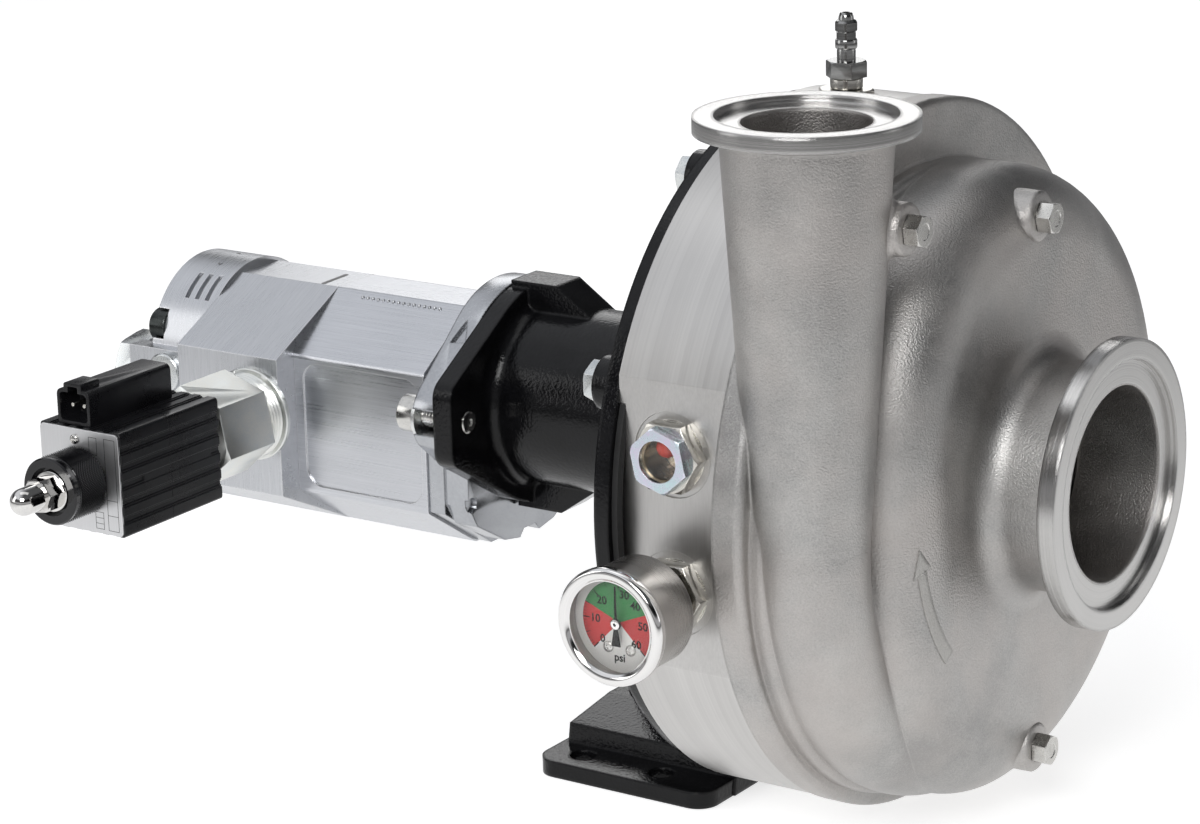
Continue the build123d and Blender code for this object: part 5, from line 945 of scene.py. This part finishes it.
# Motor through bolts: black oxide steel with round socket heads, two in the rear cover's slots and
# two on its foot, their shanks down to the front cover.
oxide = finish(
    "oxide", grain, ((0.030, 0.034, 0.033), (0.065, 0.07, 0.068)), (0.20, 0.34), 0.10,
    wear_and_highlight=(0.22, 0.23, 0.225), soften=0.0003, Grain_Scale=1700, Cloud_Scale=140,
)
through_bolts = []
for x, z, start in ((-31, 13, 245), (31, 13, 245), (-31, -45, 259), (31, -45, 259)):
    cap = revolve([(start, 7.2), (start + 0.4, 7.5), (start + 7.7, 7.5), (start + 8.5, 6.8)], 56)
    cap = combine(cap, hexagon(8, start + 4, start + 10, 20, 1.2))
    cap = join(soften_edges(cap, 0.12), soften_edges(revolve([(85.2, 3.3), (86, 3.9), (start + 0.3, 3.9)], 32), 0))
    through_bolts.append(again(cap, (x, -z, 0)))
    bpy.data.objects.remove(cap)
settle(join(*through_bolts), "through_screws", oxide, (0, 0, shaft_z), facing_back, replaces="motor_through_bolts")

# Port plugs of the motor: zinc plated, a round head with a socket in the block's side and a hexagon
# with a turned dish in the rear cover.
side_plug = revolve([(37, 7.2), (44.6, 7.2), (44.65, 8.1), (45, 8.5), (47.9, 8.5), (48.5, 7.8)], 56)
side_plug = combine(side_plug, hexagon(8, 43.5, 50, 14, 1.2))
settle(soften_edges(side_plug, 0.12), "block_plug", zinc, (0, 237.7, 139), facing_left, replaces="side_port_plug")
rear_plug = hexagon(27, 259.1, 271, 20, 1.04)
rear_plug = combine(rear_plug, revolve([(249.2, 10.2), (250, 10.9), (259.35, 10.9)], 48), "UNION")
rear_plug = combine(rear_plug, revolve([(270.4, 8.2), (272, 8.8)], 48))
settle(soften_edges(rear_plug, 0.2), "rear_plug", zinc, (-28, 0, 134), facing_back, replaces="rear_port_plug")

# Cartridge valve: zinc plated hexagons with a yellow cast, screwed into the manifold block over
# bright collars and the last turns of its thread.
valve_y, valve_z = 181.5, 131
at_valve = ((0, valve_y, valve_z), facing_left)
valve_zinc = finish(
    "valve_zinc", grain, ((0.70, 0.725, 0.72), (0.80, 0.795, 0.75)), (0.30, 0.42), 0.06,
    wear_and_highlight=(0.87, 0.88, 0.86), soften=0.0004, Grain_Scale=1500, Cloud_Scale=75,
)
nose = [(17.5, 11.9), (56.5, 11.9), (56.52, 20), (58.2, 20), (58.6, 19.6), (58.7, 17.4)]
for turn_count in range(4):
    nose += [(59.8 + 1.9 * turn_count, 18.5), (60.75 + 1.9 * turn_count, 17.3)]
valve = revolve(nose + [(67.4, 17.3), (67.6, 18.4), (69, 18.4)], 72)
valve = bore(valve, 16, 57.5, 5.03, 40)
tube = revolve([(103.8, 8), (182, 8)], 56)
valve = join(valve, hexagon(38.1, 68.2, 98.5, 12, 1.03), hexagon(24, 98.4, 103.9, 0, 1.02), tube)
settle(soften_edges(valve, 0.2), "cartridge", valve_zinc, *at_valve, replaces="valve_body")

# Coil: glass filled black nylon moulded round the winding, with stepped ribs, a seam round its
# middle and a plain raised pad on the face.
black_plastic = finish(
    "black_plastic", grain, ((0.006, 0.006, 0.007), (0.012, 0.012, 0.014)), (0.24, 0.36), 0.10,
    metallic=0, specular=0.36, soften=0.0004, Grain_Scale=1900, Cloud_Scale=60,
)


def round_edges(shape, width, along=2, segments=4):
    only(shape)
    mode("EDIT")
    bpy.ops.mesh.select_mode(type="EDGE")
    bpy.ops.mesh.select_all(action="DESELECT")
    mode("OBJECT")
    corners = shape.data.vertices
    for edge in shape.data.edges:
        first, second = (corners[index].co for index in edge.vertices)
        edge.select = all(abs(first[axis] - second[axis]) < 0.00001 for axis in range(3) if axis != along)
    mode("EDIT")
    bpy.ops.mesh.bevel(offset=width * mm, segments=segments)
    mode("OBJECT")
    return shape


coil_near, coil_far, half_wide, half_high = 104, 164.5, 21, 21.7
coil = round_edges(block((-half_wide, -half_high, coil_near), (half_wide, half_high, coil_far)), 1.5)
grooves = []
for step in range(-2, 3):
    across, up = 7.0 * step, 7.233 * step
    for breadth, depth in ((3.6, 0.45), (1.9, 0.9)):
        for side in (-1, 1):
            edge_x, edge_y = side * half_wide, side * half_high
            grooves.append(block((edge_x - depth, up - breadth / 2, 100), (edge_x + depth, up + breadth / 2, 170)))
            grooves.append(
                block((across - breadth / 2, edge_y - depth, 100), (across + breadth / 2, edge_y + depth, 170))
            )
for groove in grooves:
    coil = combine(coil, groove)
coil = combine(coil, round_edges(block((20.1, -3.6, 109.5), (20.75, 2.9, 151)), 1.4, along=0), "UNION")
seam = combine(block((-22, -23, 134.8), (22, 23, 135.1)), block((-20.6, -21.3, 134), (20.6, 21.3, 136)))
coil = combine(coil, seam)
coil = bore(coil, 100, 170, 8.3, 56)
settle(soften_edges(coil, 0.14), "coil_block", black_plastic, *at_valve, replaces="coil", body="coil_unit")

# Connector: a shroud of black nylon moulded on top of the coil, with a latch over its mouth and two
# nickel plated pins inside.
shroud = round_edges(block((-12.5, 21.6, 113), (4.5, 36.2, 163)), 2.6)
for point in shroud.data.vertices:
    if point.co.y < 0.0245:
        point.co.y = 0.0216
        point.co.x = -0.0125 if point.co.x < -0.004 else 0.0045
mode("EDIT")
close_up(0.01)
shroud = combine(shroud, round_edges(block((-8.6, 34, 152), (0.6, 38.9, 163)), 1.0), "UNION")
shroud = combine(shroud, round_edges(block((-11.1, 23, 151), (3.1, 34.8, 165)), 1.8))
shroud = combine(shroud, round_edges(block((-6.6, 34, 151), (-1.4, 37.4, 165)), 0.6))
settle(
    soften_edges(shroud, 0.35, 40, 3), "connector_shroud", black_plastic, *at_valve,
    replaces="connector", body="coil_unit",
)
coat(nickel, "connector_pins")

# Coil plate: a thin aluminium plate with rounded corners and ruled boxes, held by one small
# cross recessed screw in front of the coil.
plate_metal = finish(
    "plate_metal", streaks, ((0.66, 0.66, 0.67), (0.74, 0.74, 0.75)), (0.30, 0.42), 0.05,
    wear_and_highlight=(0.75, 0.75, 0.75), soften=0.0003, Stretch=(40, 1800, 40), Cloud_Scale=30,
)
coil_plate = round_edges(block((-20.5, -21.2, 164.52), (20.5, 21.2, 165.5)), 2.0)
coil_plate = bore(coil_plate, 160, 170, 8.3, 56)
settle(soften_edges(coil_plate, 0.15), "blank_plate", plate_metal, *at_valve, replaces="coil_plate", body="coil_unit")
boxes = (
    (13.2, -19.3, 18.6, 18.8), (5.2, 11.5, 9.2, 18.6), (6.6, -19.2, 10.8, -12.2), (13.2, -13.0, 18.6, -6.6),
    (6.6, -17.0, 10.8, -14.6),
)
rules = []
for left, low, right, high in boxes:
    ends = ((left, low, right, low), (left, high, right, high), (left, low, left, high), (right, low, right, high))
    for x, y, end_x, end_y in ends:
        rules.append(block((x - 0.09, y - 0.09, 165.5), (end_x + 0.09, end_y + 0.09, 165.53)))
settle(join(*rules), "plate_rules", ink, *at_valve, body="coil_unit")
plate_head = revolve([(164.6, 1.2), (165.5, 1.2), (165.52, 2.1), (166.2, 1.95), (166.7, 1.4), (166.9, 0.6)], 32)
for low, high in (((-1.6, -0.3, 166.2), (1.6, 0.3, 167.5)), ((-0.3, -1.6, 166.2), (0.3, 1.6, 167.5))):
    plate_head = combine(plate_head, block(low, high))
settle(
    soften_edges(plate_head, 0), "plate_rivet", bolt_steel, (0, valve_y + 2.2, valve_z + 16.7),
    facing_left, replaces="plate_screw", body="coil_unit",
)

# Coil nut: black moulded nut with a diamond knurl round its grip and a smooth ring in front, and
# a bright acorn nut on the end of the tube.
grip_rings, grip_low, grip_high, near = 13, 166.2, 180.6, 0.01
grip_profile = [(165.7, 13.0), (166.0, 13.6)]
rise = (grip_high - grip_low) / grip_rings
grip_profile += [(grip_low + rise * index, 13.6) for index in range(grip_rings + 1)]
grip_profile += [(180.9, 13.2), (181.1, 13.5), (183.8, 13.9), (184.5, 13.3)]
grip = revolve(grip_profile, 72)
origin_count = len(grip.data.vertices)
choose_faces(
    grip, lambda face: hypot(face.normal.x, face.normal.y) > 0.99 and grip_low < face.center.z / mm < grip_high
)
bpy.ops.mesh.poke()
bpy.ops.mesh.select_mode(type="EDGE")
bpy.ops.mesh.select_all(action="DESELECT")
mode("OBJECT")
corners = grip.data.vertices
for edge in grip.data.edges:
    heights = [corners[index].co.z / mm for index in edge.vertices]
    inside = all(grip_low - near < height < grip_high + near for height in heights)
    rim = any(abs(sum(heights) / 2 - limit) < near for limit in (grip_low, grip_high))
    edge.select = inside and not rim and all(index < origin_count for index in edge.vertices)
mode("EDIT")
bpy.ops.mesh.dissolve_edges(use_verts=False)
mode("OBJECT")
choose_faces(
    grip, lambda face: hypot(face.normal.x, face.normal.y) > 0.98 and 0.1 < face.center.z / mm - grip_low < 14.3
)
bpy.ops.mesh.poke(offset=0.6 * mm)
mode("OBJECT")
grip = bore(grip, 181.5, 190, 10, 64)
grip = bore(grip, 160, 190, 8.05, 64)
knurled = finish(
    "knurled", grain, ((0.004, 0.004, 0.005), (0.010, 0.010, 0.012)), (0.10, 0.18), 0.03,
    metallic=0, Grain_Scale=1900, Cloud_Scale=60,
)
settle(grip, "knurled_nut", knurled, *at_valve, replaces="coil_nut", body="hand_nut")
bright_steel = finish(
    "bright_steel", grain, ((0.64, 0.63, 0.62), (0.74, 0.73, 0.71)), (0.05, 0.11), 0.03,
    Grain_Scale=1500, Cloud_Scale=120,
)
acorn = revolve([(182, 8.1), (182.4, 8.5), (183.7, 8.5), (184, 8.2)], 56)
acorn = combine(acorn, hexagon(12.7, 183.9, 192, 38, 1.05), "UNION")
dome = [(191.9, 5.6), (199.4, 5.6)]
dome += [(199.4 + 5.6 * sin(radians(a)), 5.6 * cos(radians(a))) for a in range(10, 90, 10)]
acorn = combine(acorn, revolve(dome, 48), "UNION")
settle(soften_edges(acorn, 0.12), "acorn_cap", bright_steel, *at_valve, replaces="acorn_nut", body="hand_nut")

size = {"cad": [list(corner) for corner in cad_box], "visual": [list(corner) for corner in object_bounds()]}
